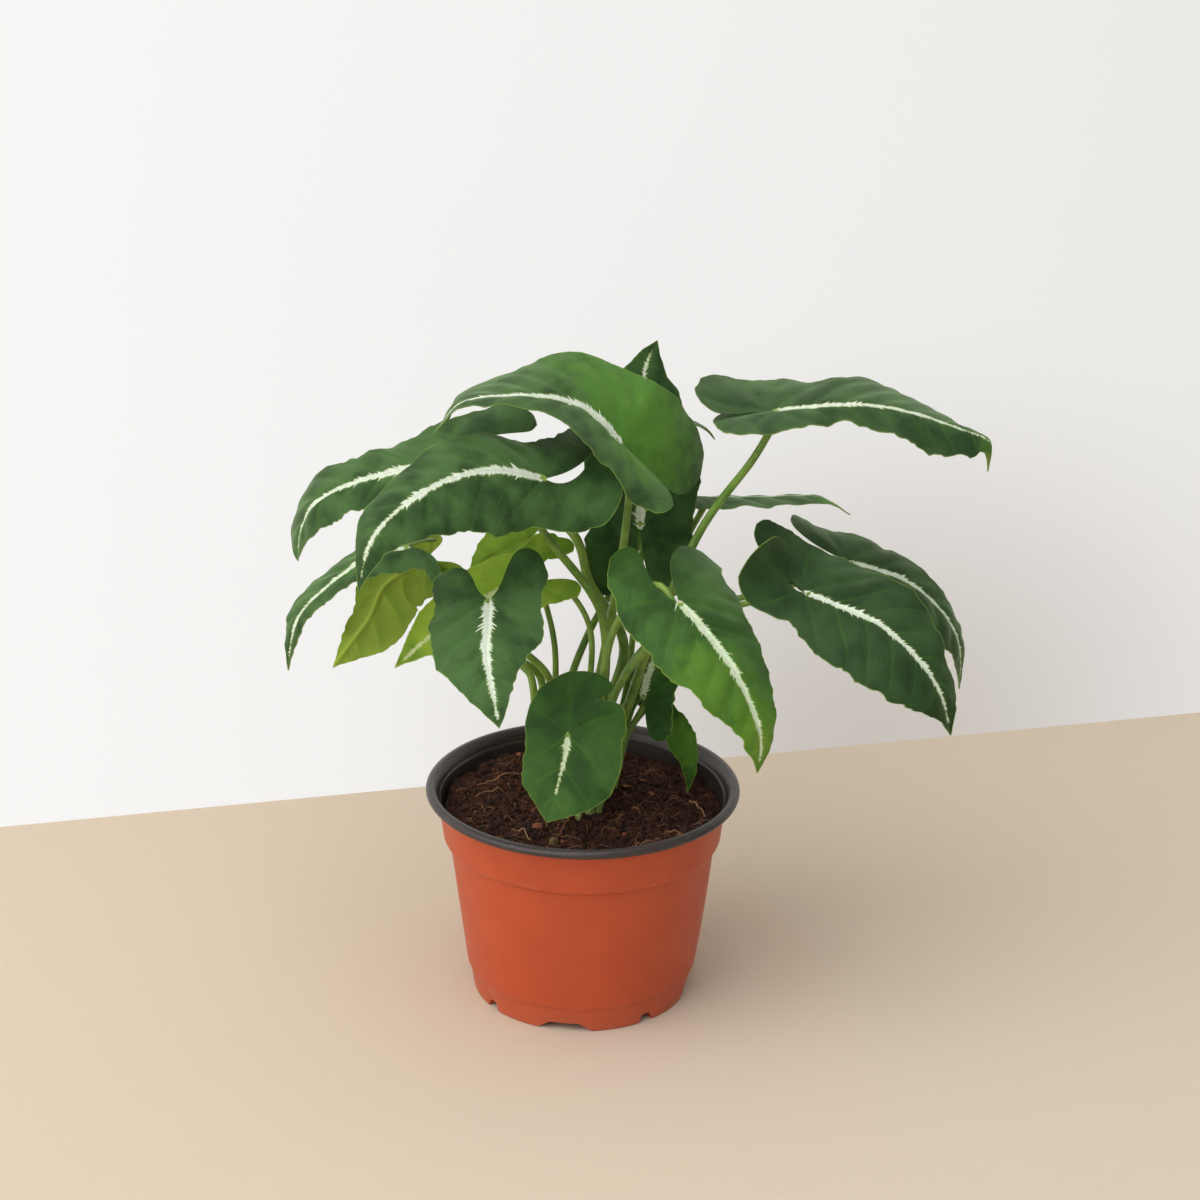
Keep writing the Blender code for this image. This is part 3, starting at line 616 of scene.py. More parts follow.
def flat_half(leaf, side, phase, look):
    """Rows of (along, across, share, margin) on the flat leaf, tip to lobe end, mm."""
    which = 0 if side > 0 else 1
    width, lobe = leaf.width[which], leaf.lobes[which]
    length = run_along(smooth_route(leaf.route, STATIONS))[-1]
    splay = math.radians(leaf.splay[which])
    sinus, ruffle = look.get("sinus", 1.0), look["ripple"]
    share = np.linspace(0, 1, COLUMNS + 1) ** 1.2
    grid = []
    for fraction in 1 - np.linspace(0, 1, BLADE_ROWS) ** 1.15:
        along = fraction * length
        edge = width * profile(BLADE_EDGE, fraction ** leaf.fullness)
        edge *= swelling(leaf.swell[which], 4 * fraction)
        edge = max(edge + scallop(along, phase, ruffle) * min(edge / SOFT_EDGE, 1.0), 0.0)
        grid.append([(along, edge * s, s, edge * (1 - s)) for s in share])
    for fraction in np.sin(np.linspace(0, 1, LOBE_ROWS + 1)[1:] * math.pi / 2):
        inner = width * profile(LOBE_INNER, fraction) * (sinus + (1 - sinus) * fraction ** 2)
        outer = width * profile(LOBE_OUTER, fraction)
        outer *= swelling(leaf.swell[which], -min(2 * fraction, 1))
        outer += scallop(-lobe * fraction, phase, ruffle) * min((outer - inner) / SOFT_EDGE, 1.0)
        swing, reach = splay * fraction, lobe * fraction
        row = []
        for s in share:
            out = inner + (outer - inner) * s
            back = -reach * math.cos(swing) + out * math.sin(swing)
            away = reach * math.sin(swing) + out * math.cos(swing)
            row.append((back, away, s, (outer - inner) * min(1 - s, s + 0.02)))
        grid.append(row)
    return np.array(grid), length


def bend_half(leaf, side, flat, length):
    """The flat grid laid along the midrib, with fold, arch and lobe droop."""
    which = 0 if side > 0 else 1
    points, forward, left, up = midrib_frames(leaf, STATIONS)
    base_fold, tip_fold = (math.radians(pair[which]) for pair in (leaf.fold, leaf.tip_fold or leaf.fold))
    arch = math.radians(leaf.arch) / leaf.width[which]
    bend = math.radians(leaf.droop[which] or 0.1) / leaf.lobes[which]
    along, across = flat[..., 0], flat[..., 1]
    place = np.clip(along, 0, None) / length * (STATIONS - 1)
    origin, side_way, rise = [
        np.stack([np.interp(place, range(STATIONS), array[:, k]) for k in range(3)], -1)
        for array in (points, left, up)]
    lobe = (np.arange(len(flat)) >= BLADE_ROWS)[:, None, None]
    angle = (-bend * along)[..., None]
    back, down = np.sin(angle) / bend, (1 - np.cos(angle)) / bend
    origin = np.where(lobe, points[0] - forward[0] * back - up[0] * down, origin)
    side_way = np.where(lobe, left[0], side_way)
    rise = np.where(lobe, up[0] * np.cos(angle) - forward[0] * np.sin(angle), rise)
    fold = base_fold + (tip_fold - base_fold) * np.clip(along, 0, None) / length
    slope = fold - arch * across
    out = ((np.sin(fold) - np.sin(slope)) / arch)[..., None]
    lift = ((np.cos(slope) - np.cos(fold)) / arch)[..., None]
    placed = origin + side_way * side * out + rise * lift
    normals = rise * np.cos(slope)[..., None] - side_way * side * np.sin(slope)[..., None]
    return placed, normals


print("blade grid:", BLADE_ROWS + LOBE_ROWS, "rows of", COLUMNS + 1, "points a half")

# %% [markdown]
# ## What a leaf's surface looks like
#
# The upper side is velvety: tiny domed cells scatter light, so it is dark, has
# almost no mirror gloss and a faint soft sheen. A silver-white band follows the
# midrib. Air under the skin makes it pale, and it ends in ragged teeth that
# lean along the side veins. The side veins show as slightly paler stripes, young
# parts are fresh green, and the same fresh green is also painted light where sun
# shines through the blade; the margin is a thin pale line, and the underside is a
# dull paler green. Leaves that stand in less light are painted a deeper green, as
# painted shade. A leaf is thin, so some light passes through it, which a little
# subsurface scattering gives.
#
# The blade's mesh carries the facts that the pattern needs, as attributes:
# *place* is how far along, across and in from the margin a point lies, in mm;
# *pattern* is the vein count, the amount of fresh green (young growth and painted
# sunlight through the blade) and the silver band's half width; *side* is 1 below,
# a number of its own for each leaf, and the leaf's painted shade: how much deeper
# green it is painted than the rest, because it stands in less light.

# %% Leaf material
LEAF_IOR = 1.42


def leaf_skin(name, deep, lit, fresh, gold, silver, below, through):
    """Velvety leaf skin whose pattern follows the blade's own attributes."""
    made, node, shader = new_material(name)
    darkest, dull, bright = linear(deep, 0.55), linear(below, 0.8), linear(below, 1.35)
    greyer, lit, fresh, gold = linear(silver, 0.8), linear(lit), linear(fresh), linear(gold)
    facts = []
    for layer in ("place", "pattern", "side"):
        value = node("ShaderNodeAttribute", give="Vector", attribute_name=layer)
        facts += node("ShaderNodeSeparateXYZ", {0: value}).outputs
    along, across, margin, veins, fresh_and_sunlit, band, under, own, painted_shade = facts

    # streaks and teeth lean forward with the side veins, so they live on skewed axes
    away = node("ShaderNodeMath", {0: across}, 0, operation="ABSOLUTE")
    skewed = node("ShaderNodeMath", {0: away, 1: -VEIN_SLANT, 2: along}, 0, operation="MULTIPLY_ADD")
    squeezed = node("ShaderNodeMath", {0: across, 1: 0.16}, 0, operation="MULTIPLY")
    streaky = node("ShaderNodeCombineXYZ", {0: skewed, 1: squeezed, 2: own}, 0)
    leafwide = node("ShaderNodeCombineXYZ", {0: along, 1: across, 2: own}, 0)
    spiky = node("ShaderNodeVectorMath", {0: streaky, 1: (1.0, 0.35, 1.0)}, 0, operation="MULTIPLY")

    # clouds of 14 mm, skin cells of half a millimetre, fresh blotches of 6 mm and streaks of
    # 2 mm; then the silver band's fine teeth, its few long spikes and the slow wander of its edge
    clouds, cells, blotches, streaks, teeth, spikes, wander = [
        node("ShaderNodeTexNoise", {"Vector": axes, "Scale": scale, "Detail": detail,
                                    "Roughness": rough}, "Fac")
        for axes, scale, detail, rough in (
            (leafwide, 0.07, 3.0, 0.5), (leafwide, 2.2, 3.0, 0.5), (leafwide, 0.17, 3.0, 0.5),
            (streaky, 0.45, 4.0, 0.65), (streaky, 1.3, 4.0, 0.8), (spiky, 0.75, 1.0, 0.5),
            (streaky, 0.15, 2.0, 0.5))]

    # the vein count is a whole number on a side vein
    nearest = node("ShaderNodeMath", {0: veins}, 0, operation="ROUND")
    off_vein = node("ShaderNodeMath", {0: veins, 1: nearest}, 0, operation="SUBTRACT")
    off_vein = node("ShaderNodeMath", {0: off_vein}, 0, operation="ABSOLUTE")
    blotches = node("ShaderNodeMath", {0: blotches, 1: 0.9, 2: -0.45}, 0, operation="MULTIPLY_ADD")
    patchy = node("ShaderNodeMath", {0: fresh_and_sunlit, 1: blotches}, 0, operation="ADD")
    cloudy, young, golden, stripe = [
        node("ShaderNodeMapRange", {0: value, 1: low, 2: high}, 0, interpolation_type="SMOOTHSTEP")
        for value, low, high in ((clouds, 0.35, 0.65), (patchy, 0.25, 0.85), (patchy, 0.85, 1.6),
                                 (off_vein, 0.12, 0.0))]

    # how far the silver band reaches out from the midrib here, and how far inside it a point is
    strength, spikes = [
        node("ShaderNodeMapRange", {0: value, 1: low, 2: high, 4: top}, 0)
        for value, low, high, top in ((band, 0.4, 1.8, 1.0), (spikes, 0.58, 0.76, 2.8))]
    reach = -2.9
    for value, times in ((teeth, 4.4), (wander, 1.6), (spikes, strength)):
        reach = node("ShaderNodeMath", {0: value, 1: times, 2: reach}, 0, operation="MULTIPLY_ADD")
    reach = node("ShaderNodeMath", {0: reach, 1: band}, 0, operation="ADD")
    inside = node("ShaderNodeMath", {0: reach, 1: away}, 0, operation="SUBTRACT")

    streak, pit, speckle, inner, banded, halo, tone, shown, centre, rim, ridge = [
        node("ShaderNodeMapRange", {0: value, 1: low, 2: high, 4: top}, 0)
        for value, low, high, top in (
            (streaks, 0.48, 0.75, 0.32), (streaks, 0.45, 0.25, 0.4), (cells, 0.52, 0.75, 0.4),
            (margin, 1.0, 7.0, 1.0), (band, 0.02, 0.15, 1.0), (inside, -0.55, 0.1, 0.6),
            (streaks, 0.35, 0.7, 1.0), (inside, 0.0, 0.15, 1.0), (away, 0.34, 0.08, 0.18),
            (margin, 0.42, 0.12, 0.55), (away, 1.4, 0.4, 0.7))]
    stripe = node("ShaderNodeMath", {0: stripe, 1: inner}, 0, operation="MULTIPLY")
    pale_vein, faint, halo, shown = [
        node("ShaderNodeMath", {0: value, 1: times}, 0, operation="MULTIPLY")
        for value, times in ((stripe, 0.16), (stripe, 0.22), (halo, banded), (shown, banded))]

    # dull underside with a paler midrib, and the silver of the band
    belly, metal = linear(below), linear(silver)
    metal = node("ShaderNodeMix", {0: tone, 6: metal, 7: greyer}, 2, data_type="RGBA")
    for share, over in ((cloudy, dull), (faint, bright), (ridge, bright), (golden, gold)):
        belly = node("ShaderNodeMix", {0: share, 6: belly, 7: over}, 2, data_type="RGBA")

    # green of the upper side, its fresh patches (young growth and painted sunlight through the
    # blade), the painted shade of leaves in less light, veins, silver band, midrib line and margin
    layers = [(cloudy, lit), (streak, lit), (pit, darkest), (speckle, lit), (young, fresh),
              (golden, gold), (painted_shade, darkest), (pale_vein, fresh), (halo, gold), (shown, metal),
              (centre, fresh), (rim, gold), (under, belly)]
    gloss = node("ShaderNodeMapRange", {0: cells, 1: 0.3, 2: 0.7, 3: 0.5, 4: 0.62}, 0)
    height = node("ShaderNodeMath", {0: streaks, 1: 0.7, 2: cells}, 0, operation="MULTIPLY_ADD")
    dress(node, shader, linear(deep), layers, (height, 0.6, 0.00035), {
        "Roughness": gloss, "IOR": LEAF_IOR, "Specular IOR Level": 0.2, "Sheen Weight": 0.5,
        "Sheen Tint": linear("#c4e8ac"), "Sheen Roughness": 0.4, "Subsurface Weight": through,
        "Subsurface Radius": (0.35, 1.0, 0.12), "Subsurface Scale": 0.0012})
    return made


LEAF_SKINS = {
    "dark": leaf_skin("velvety_leaf_dark", "#28431f", "#476937", "#4f7f2c", "#93a942",
                      "#e4efdc", "#5b7438", 0.12),
    "mid": leaf_skin("velvety_leaf_fresh", "#2b4e1e", "#48712f", "#5f8d2b", "#9cb03c",
                     "#dcebca", "#64803a", 0.2),
    "yellow": leaf_skin("thin_yellow_leaf", "#6f8f2c", "#8fab38", "#9fbb3e", "#bdca5c",
                        "#dfe7b0", "#93a942", 0.45),
}
print("leaf skins:", ", ".join(skin.name for skin in LEAF_SKINS.values()))

# %% [markdown]
# ## How each leaf differs
#
# The shape table says how a leaf lies. These few extra facts say how it looks:
# how wide its silver band is, how strongly its margin ripples, and where it is
# fresh green. Fresh green is partly young growth and partly painted light, where
# sun shines through the blade. A fresh patch is given by its place along the
# midrib (0 base, 1 tip), its distance across (left is positive), its size and its
# strength. "sinus" below 1 narrows the gap between the lobes, "reach" below 1
# ends the silver band before the tip, and "deep" is painted shade: it makes the
# whole leaf a deeper green where the leaf stands in less light.

# %% Looks table
# "deep" is painted shade, and the fresh patches are partly painted sunlight through the blade
LOOKS = {
    "leaf_crest": {"silver": 1.8, "sinus": 0.1, "ripple": 1.0,
                   "fresh": [(-0.1, -14, 34, 0.85), (0.25, -24, 20, 0.35)]},
    "leaf_front_left": {"silver": 1.5, "sinus": 0.7, "ripple": 0.8, "fresh": [(0.75, 10, 14, 0.25)]},
    "leaf_back_left": {"silver": 1.5, "ripple": 1.3, "fresh": [(0.9, 0, 12, 0.4)]},
    "leaf_far_left": {"silver": 1.2, "ripple": 1.4, "fresh": []},
    "leaf_yellow_hanging": {"silver": 0.0, "ripple": 1.0, "fresh": [(0.6, 0, 30, 0.2)]},
    "leaf_young_left": {"silver": 1.6, "ripple": 0.8, "fresh": [(0.5, 0, 30, 0.6)]},
    "leaf_front_centre": {"silver": 1.7, "ripple": 0.8, "fresh": []},
    "leaf_yellow_back": {"silver": 0.0, "ripple": 0.8, "fresh": [(0.5, 0, 30, 0.2)]},
    "leaf_small_front": {"silver": 1.0, "reach": 0.72, "sinus": 0.0, "deep": 0.35, "ripple": 0.7,
                         "fresh": [(0.8, 10, 14, 0.3)]},
    "leaf_front_right": {"silver": 1.7, "deep": 0.25, "ripple": 0.9,
                         "fresh": [(0.85, 0, 20, 1.1), (0.4, -12, 18, 0.8)]},
    "leaf_right": {"silver": 1.2, "sinus": 0.5, "deep": 0.6, "ripple": 1.1, "fresh": []},
    "leaf_right_back": {"silver": 1.0, "sinus": 0.4, "deep": 0.55, "ripple": 1.4,
                        "fresh": [(1.0, 0, 10, 1.0)]},
    "leaf_top_right": {"silver": 1.1, "sinus": 0.0, "deep": 0.35, "ripple": 1.4,
                       "fresh": [(1.0, 0, 14, 1.6)]},
    "leaf_edge_on": {"silver": 1.0, "ripple": 1.2, "fresh": [(1.0, 0, 18, 1.4)]},
    "leaf_upright_back": {"silver": 1.6, "sinus": 0.2, "deep": 0.2, "ripple": 1.0, "fresh": []},
    "leaf_small_right": {"silver": 1.2, "deep": 0.1, "ripple": 1.4, "fresh": []},
    "leaf_hanging_tip": {"silver": 0.0, "ripple": 1.2, "fresh": [(0.5, 0, 20, 0.8)]},
    "leaf_behind_crest": {"silver": 0.0, "ripple": 1.2, "fresh": []},
}
SILVER_PROFILE = [(0.00, 0.7), (0.03, 1.0), (0.15, 1.1), (0.35, 0.92), (0.60, 0.68), (0.78, 0.42),
                  (0.90, 0.2), (0.95, 0.0), (1.00, 0.0)]
print("looks given for", len(LOOKS), "leaves")

# %% [markdown]
# ## From vertices to a piece
#
# Every piece is made in the same three steps: an empty mesh builder gets the
# attributes that its material reads, faces are laid between its rings of
# vertices, and the result becomes an object with smooth shading, where only
# corners sharper than a given angle stay crisp.

# %% Mesh helpers
SMOOTH_UP_TO = 60


def start_mesh(*names):
    """An empty mesh builder, followed by its vector attributes of the given names."""
    builder = bmesh.new()
    return builder, *[builder.verts.layers.float_vector.new(name) for name in names]


def lay_face(builder, corners):
    """A face through the corners, two of which may be the same vertex."""
    return builder.faces.new([v for n, v in enumerate(corners) if v not in corners[:n]])


def join_rings(builder, rings):
    """Faces between closed rings in order, with both ends closed; gives the side faces."""
    faces = []
    for lower, upper in zip(rings, rings[1:]):
        for k in range(max(len(lower), len(upper))):
            corners = [ring[step % len(ring)] for ring, step in
                       ((lower, k), (lower, k + 1), (upper, k + 1), (upper, k))]
            faces.append(lay_face(builder, corners))
    for end in (rings[0][::-1], rings[-1]):
        if len(end) > 2:
            builder.faces.new(end)
    return faces


def finished(name, builder, finish, smooth=SMOOTH_UP_TO, turn_out=True):
    """Mesh object from a builder, smooth-shaded and in the scene."""
    if turn_out:
        bmesh.ops.recalc_face_normals(builder, faces=builder.faces)
    mesh = bpy.data.meshes.new(name)
    builder.to_mesh(mesh)
    builder.free()
    mesh.shade_smooth()
    mesh.set_sharp_from_angle(angle=math.radians(smooth))
    mesh.materials.append(finish)
    return into_scene(name, mesh)


print("edges flatter than", SMOOTH_UP_TO, "degrees are shaded smooth, unless a piece says otherwise")

# %% [markdown]
# ## Building the blades
#
# The upper sheet is laid first, with its two halves joined along the midrib. The
# lower sheet is the same sheet pushed in by the skin's thickness, and by more
# under the midrib, where the ridge is. A strip round the margin closes the two
# into one solid. A Solidify modifier would give an even thickness only.

# %% Blade mesh
RIDGE_WIDTH = 1.1
MARGIN_EASE = 8.0


def fresh_and_sunlit_amount(look, along, across, length):
    """Sum of the leaf's fresh patches at a point of the flat leaf: young growth and painted sunlight through
    the blade.
    """
    return sum(strength * math.exp(-(math.hypot(along - at * length, across - out) / size) ** 2)
               for at, out, size, strength in look["fresh"])


def build_blade(name, leaf, look, own):
    """One closed leaf with its pattern attributes."""
    builder, place, pattern, side_layer = start_mesh("place", "pattern", "side")
    facing, shared = {}, {}
    phase = own * 0.9

    for side in (1, -1):
        flat, length = flat_half(leaf, side, phase + 2.1 * side, look)
        points, normals = bend_half(leaf, side, flat, length)
        along, across, share, margin = (flat[..., k] for k in range(4))
        eased = np.clip(margin + across, 0, MARGIN_EASE) / MARGIN_EASE
        lift = relief(along, across, share, margin)
        lift += ripple(along, share, phase + 1.7 * side, look["ripple"]) * eased
        points = points + normals * lift[..., None]
        reached = np.clip(along / length / look.get("reach", 1.0), 0, 1)
        band = look["silver"] * profile(SILVER_PROFILE, reached) * (along >= 0)
        counts = vein_phase(along, across)
        rows = []
        for i in range(points.shape[0]):
            row = []
            for j in range(points.shape[1]):
                key = "tip" if i == 0 else (i if j == 0 and i < BLADE_ROWS else None)
                if key in shared:
                    row.append(shared[key])
                    continue
                vert = builder.verts.new(to_frame(points[i, j]))
                vert[place] = (along[i, j], across[i, j] * side, margin[i, j])
                # fresh patches are partly painted sunlight through the blade, and the side's last value is
                # the leaf's painted shade
                fresh = fresh_and_sunlit_amount(look, along[i, j], across[i, j] * side, length)
                vert[pattern] = (counts[i, j], fresh, band[i, j])
                vert[side_layer] = (0.0, own, look.get("deep", 0.0))
                facing[vert] = normals[i, j]
                if key is not None:
                    shared[key] = vert
                row.append(vert)
            rows.append(row)
        for upper, lower in zip(rows, rows[1:]):
            for k in range(COLUMNS):
                corners = [upper[k], lower[k], lower[k + 1], upper[k + 1]]
                lay_face(builder, corners if side > 0 else corners[::-1])

    top_faces = list(builder.faces)
    border = [edge for edge in builder.edges if len(edge.link_faces) == 1]
    border = [(edge.link_loops[0].vert, edge.link_loops[0].link_loop_next.vert) for edge in border]
    below = {}
    for vert, normal in facing.items():
        along, across = vert[place][0], abs(vert[place][1])
        ridge = RIDGE_HEIGHT * math.exp(-(across / RIDGE_WIDTH) ** 2)
        ridge *= max(1.0 - 0.8 * max(along, 0.0) / length, 0.0) * min(max(1 + along / 3.0, 0.0), 1.0)
        lower = builder.verts.new(vert.co - Vector(normal) * (SKIN_THICKNESS + ridge) * MM)
        lower[place], lower[pattern], lower[side_layer] = vert[place], vert[pattern], (1.0, own, 0.0)
        below[vert] = lower
    for face in top_faces:
        builder.faces.new([below[v] for v in reversed(face.verts)])
    for start, end in border:
        builder.faces.new([end, start, below[start], below[end]])
    return finished(name + "_blade", builder, LEAF_SKINS[leaf.colour], smooth=65, turn_out=False)


# %% Build every blade
for number, (name, leaf) in enumerate(LEAVES.items()):
    blade = build_blade(name, leaf, LOOKS[name], number + 1.0)
    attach(blade, BODY)
    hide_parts(name)
    corners = np.array([blade.matrix_world @ v.co for v in blade.data.vertices])
    off = np.abs(np.array([corners.min(axis=0), corners.max(axis=0)]) - np.array(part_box(name))).max()
    print(f"{name}: {len(blade.data.polygons)} faces, within {off / MM:.1f} mm of its packed blade")

# %% [markdown]
# ## Petioles and shoots
#
# A petiole is the leaf's stalk. It leaves the shoot as a wider sheath that
# clasps the stem, becomes a round rod with fine lengthwise ribs, and narrows
# towards the blade, where a short swelling turns the leaf to the light. A ring
# of points carried along the route makes such a rod. A bevelled curve would be
# quicker, but it can't change its section from sheath to rod on the way.

# %% Swept rods
ROD_SIDES = 16
ROD_STATIONS = 54


def ring_angles(sides):
    """Evenly spaced angles round a ring."""
    return [2 * math.pi * k / sides for k in range(sides)]


def carried_frames(route):
    """Two directions square to a route, carried along it without spinning."""
    forward, first = carried(route, lambda start: unit(np.cross(start, (0.31, 0.95, 0.0))))
    return first, np.cross(forward, first)


def sweep(builder, route, sections, frames=None):
    """Closed rod through a route; each section is the rod's ring of (x, y) there, mm."""
    first, second = frames or carried_frames(route)
    rings = [[builder.verts.new(to_frame(point + a * x + b * y)) for x, y in section]
             for point, a, b, section in zip(route, first, second, sections)]
    join_rings(builder, rings)
    return rings


print("rods have", ROD_SIDES, "sides")

# %% [markdown]
# ## Stalk skin
#
# A petiole is juicy and waxy, so it is fresh green with a soft gloss. Fine pale
# dashes run along it, painted highlights where its ribs catch the light, and its
# foot is paler, where the sheath grew without sun. The colour follows two
# attributes: *place* holds the distance along and round the rod in mm, *side* how
# pale the foot is.

# %% Stalk material


def stalk_skin(name, green, dark, pale, dash_mm):
    """Waxy green stalk with fine pale dashes along it, painted highlights on its ribs."""
    made, node, shader = new_material(name)
    place, side = [node("ShaderNodeAttribute", give="Vector", attribute_name=layer)
                   for layer in ("place", "side")]
    sheath = node("ShaderNodeSeparateXYZ", {0: side}, 0)
    stretched = node("ShaderNodeVectorMath", {0: place, 1: (0.12, 1.0, 1.0)}, 0, operation="MULTIPLY")
    dashes = node("ShaderNodeTexNoise", {"Vector": stretched, "Scale": 1 / dash_mm, "Detail": 4.0,
                                         "Roughness": 0.7}, "Fac")
    clouds = node("ShaderNodeTexNoise", {"Vector": place, "Scale": 0.09, "Detail": 3.0}, "Fac")
    cloudy, painted_rib_highlight, gloss = [
        node("ShaderNodeMapRange", {0: value, 1: low, 2: high, 3: start, 4: end}, 0)
        for value, low, high, start, end in (
            (clouds, 0.35, 0.65, 0.0, 1.0), (dashes, 0.54, 0.72, 0.0, 0.6), (dashes, 0.3, 0.7, 0.34, 0.5))]
    # the pale dashes are painted highlights on the ribs; the pale foot is the sheath's own colour
    layers = [(cloudy, linear(dark)), (painted_rib_highlight, linear(pale)), (sheath, linear(pale))]
    dress(node, shader, linear(green), layers, (dashes, 0.4, 0.00015), {
        "Roughness": gloss, "IOR": LEAF_IOR, "Subsurface Weight": 0.15,
        "Subsurface Radius": (0.5, 1.0, 0.2), "Subsurface Scale": 0.0015})
    return made


petiole_skin = stalk_skin("waxy_petiole", "#88a847", "#5d8431", "#b9cc7c", 0.55)
print("stalk skin:", petiole_skin.name)

# %% [markdown]
# ## Where the stalks stand
#
# On each shoot the stalks stand in a ring, in order of the way they lean, so
# that none crosses its neighbour. Each stalk's sheath wraps down round the stem
# into the mix, and the stalk ends just inside the blade, where the midrib's
# ridge begins.

# %% Stalk routes
PETIOLE_RING = 5.8
PETIOLE_TAPER = 0.35
PETIOLE_STOP = 1.1
PETIOLE_RISE = 3.0
SHEATH_LENGTH = 26.0
OWN_STEP = 9  # keeps one stalk's pattern away from the next one's, mm
SHOOT_TOP = 90.0
SHOOTS = {"shoot_left": (-14.0, 4.0), "shoot_middle": (3.0, -6.0), "shoot_right": (9.0, 14.0)}


def petiole_feet():
    """Foot of each leaf's stalk on its shoot, mm."""
    feet = {}
    for shoot, (x, y) in SHOOTS.items():
        lean = {name: math.atan2(leaf.petiole[0][1] - y, leaf.petiole[0][0] - x)
                for name, leaf in LEAVES.items() if leaf.shoot == shoot}
        names = sorted(lean, key=lean.get)
        step = 2 * math.pi / len(names)
        offsets = [lean[name] - step * k for k, name in enumerate(names)]
        start = math.atan2(sum(map(math.sin, offsets)), sum(map(math.cos, offsets)))
        for k, name in enumerate(names):
            angle = start + step * k
            feet[name] = (x + PETIOLE_RING * math.cos(angle), y + PETIOLE_RING * math.sin(angle), SHOOT_TOP)
    return feet


def petiole_route(leaf, foot):
    """Points from inside the shoot to the underside of the leaf base."""
    points, forward, _, up = midrib_frames(leaf, STATIONS)
    end = points[0] - up[0] * PETIOLE_STOP
    under = end - up[0] * PETIOLE_RISE
    above = foot + (0, 0, PETIOLE_RISE)
    middle = np.array((*SHOOTS[leaf.shoot], SHOOT_TOP))
    root, collar = (middle + (foot - middle) * share - (0, 0, drop)
                    for share, drop in ((0.3, 16.0), (0.7, 5.0)))
    last = points[0] - up[0] * 0.2 + forward[0] * 0.6
    return smooth_route([root, collar, above, *leaf.petiole, under, last], ROD_STATIONS)


def build_petiole(name, leaf, foot, own):
    """One stalk: sheath, ribbed rod and the swelling under the blade."""
    route = petiole_route(leaf, np.array(foot))
    run = run_along(route)
    sections = []
    for distance in run:
        radius = leaf.stem * (1.0 - PETIOLE_TAPER * distance / run[-1])
        sheath = 0.22 * math.exp(-(distance / SHEATH_LENGTH) ** 2)
        swelling = 0.16 * math.exp(-((run[-1] - distance - 5.0) / 4.0) ** 2)
        ring = []
        for angle in ring_angles(ROD_SIDES):
            rib = 1.0 + 0.035 * math.cos(5 * angle + own) + 0.02 * math.cos(8 * angle)
            out = radius * (rib + swelling + sheath)
            ring.append((out * math.cos(angle), out * math.sin(angle)))
        sections.append(ring)
    builder, place, side_layer = start_mesh("place", "side")
    for distance, ring in zip(run, sweep(builder, route, sections)):
        paleness = 0.7 * math.exp(-(distance / SHEATH_LENGTH) ** 2)
        for angle, vert in zip(ring_angles(ROD_SIDES), ring):
            vert[place] = (distance, leaf.stem * math.cos(angle) + OWN_STEP * own,
                           leaf.stem * math.sin(angle))
            vert[side_layer] = (paleness, own, 0.0)
    print(f"{name}: {run[-1]:.0f} mm long")
    return finished(name + "_stalk", builder, petiole_skin)


# %% Build every stalk
feet = petiole_feet()
for number, (name, leaf) in enumerate(LEAVES.items()):
    petiole = name.replace("leaf", "petiole")
    stalk = build_petiole(petiole, leaf, feet[name], number + 1.0)
    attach(stalk, BODY)
    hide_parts(petiole)

# %% [markdown]
# ## Shoots
#
# Each shoot is a short fleshy stem hidden in the overlapping sheaths of its
# leaves. Only a little of its own brownish green skin shows between them, so a
# low lobed column that rounds over at the top is enough.

# %% Shoots
SHOOT_RADIUS = 7.8
STEM_RADIUS = 5.4
SHOOT_SIDES = 48
SHOOT_SHAPE = [(60.0, 0.92), (70.0, 0.95), (78.0, 1.0), (82.0, 0.98), (85.0, 0.95), (87.5, 0.90),
               (89.0, 0.80), (89.8, 0.62), (SHOOT_TOP, 0.30)]  # height in mm and share of the radius
shoot_skin = stalk_skin("brown_green_shoot", "#4f5a2e", "#3f3c22", "#77713f", 1.1)


def build_shoot(name, x, y, own):
    """Lobed stem with a rounded top."""
    stalks = [math.atan2(feet[leaf_name][1] - y, feet[leaf_name][0] - x)
              for leaf_name, leaf in LEAVES.items() if leaf.shoot == name]
    sections = []
    for _, factor in SHOOT_SHAPE:
        ring = []
        for angle in ring_angles(SHOOT_SIDES):
            nearest = min(abs((angle - other + math.pi) % (2 * math.pi) - math.pi) for other in stalks)
            radius = STEM_RADIUS * factor * (0.86 + 0.14 * math.exp(-(nearest / 0.34) ** 2))
            ring.append((radius * math.cos(angle), radius * math.sin(angle)))
        sections.append(ring)
    builder, place, side_layer = start_mesh("place", "side")
    route = np.array([(x, y, height) for height, _ in SHOOT_SHAPE])
    level = [np.tile(axis, (len(route), 1)) for axis in ((1.0, 0, 0), (0, 1.0, 0))]
    for (height, _), ring in zip(SHOOT_SHAPE, sweep(builder, route, sections, level)):
        for k, vert in enumerate(ring):
            vert[place] = (height, 0.13 * SHOOT_RADIUS * k, OWN_STEP * own)
            vert[side_layer] = (0.1, own, 0.0)
    return finished(name + "_stem", builder, shoot_skin)


for number, (name, (x, y)) in enumerate(SHOOTS.items()):
    stem = build_shoot(name, x, y, number + 1.0)
    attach(stem, BODY)
    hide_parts(name)
print("shoots built:", len(SHOOTS))

# %% [markdown]
# ## The pot's plastic
#
# A grower's pot is thermoformed from two-ply polypropylene sheet: terracotta
# orange outside, dark brown-grey inside. The hot sheet is sucked into a mould
# and its edge is rolled over, so the dark ply shows on the rim. The orange side
# is satin with faint flow mottling, and handling leaves pale rubbed marks on the
# collar's edge and the foot. The dark side is glossier where the roll was pulled
# smooth, with fine lines that follow the rim.

# %% Plastic finishes
POLYPROPYLENE_IOR = 1.49


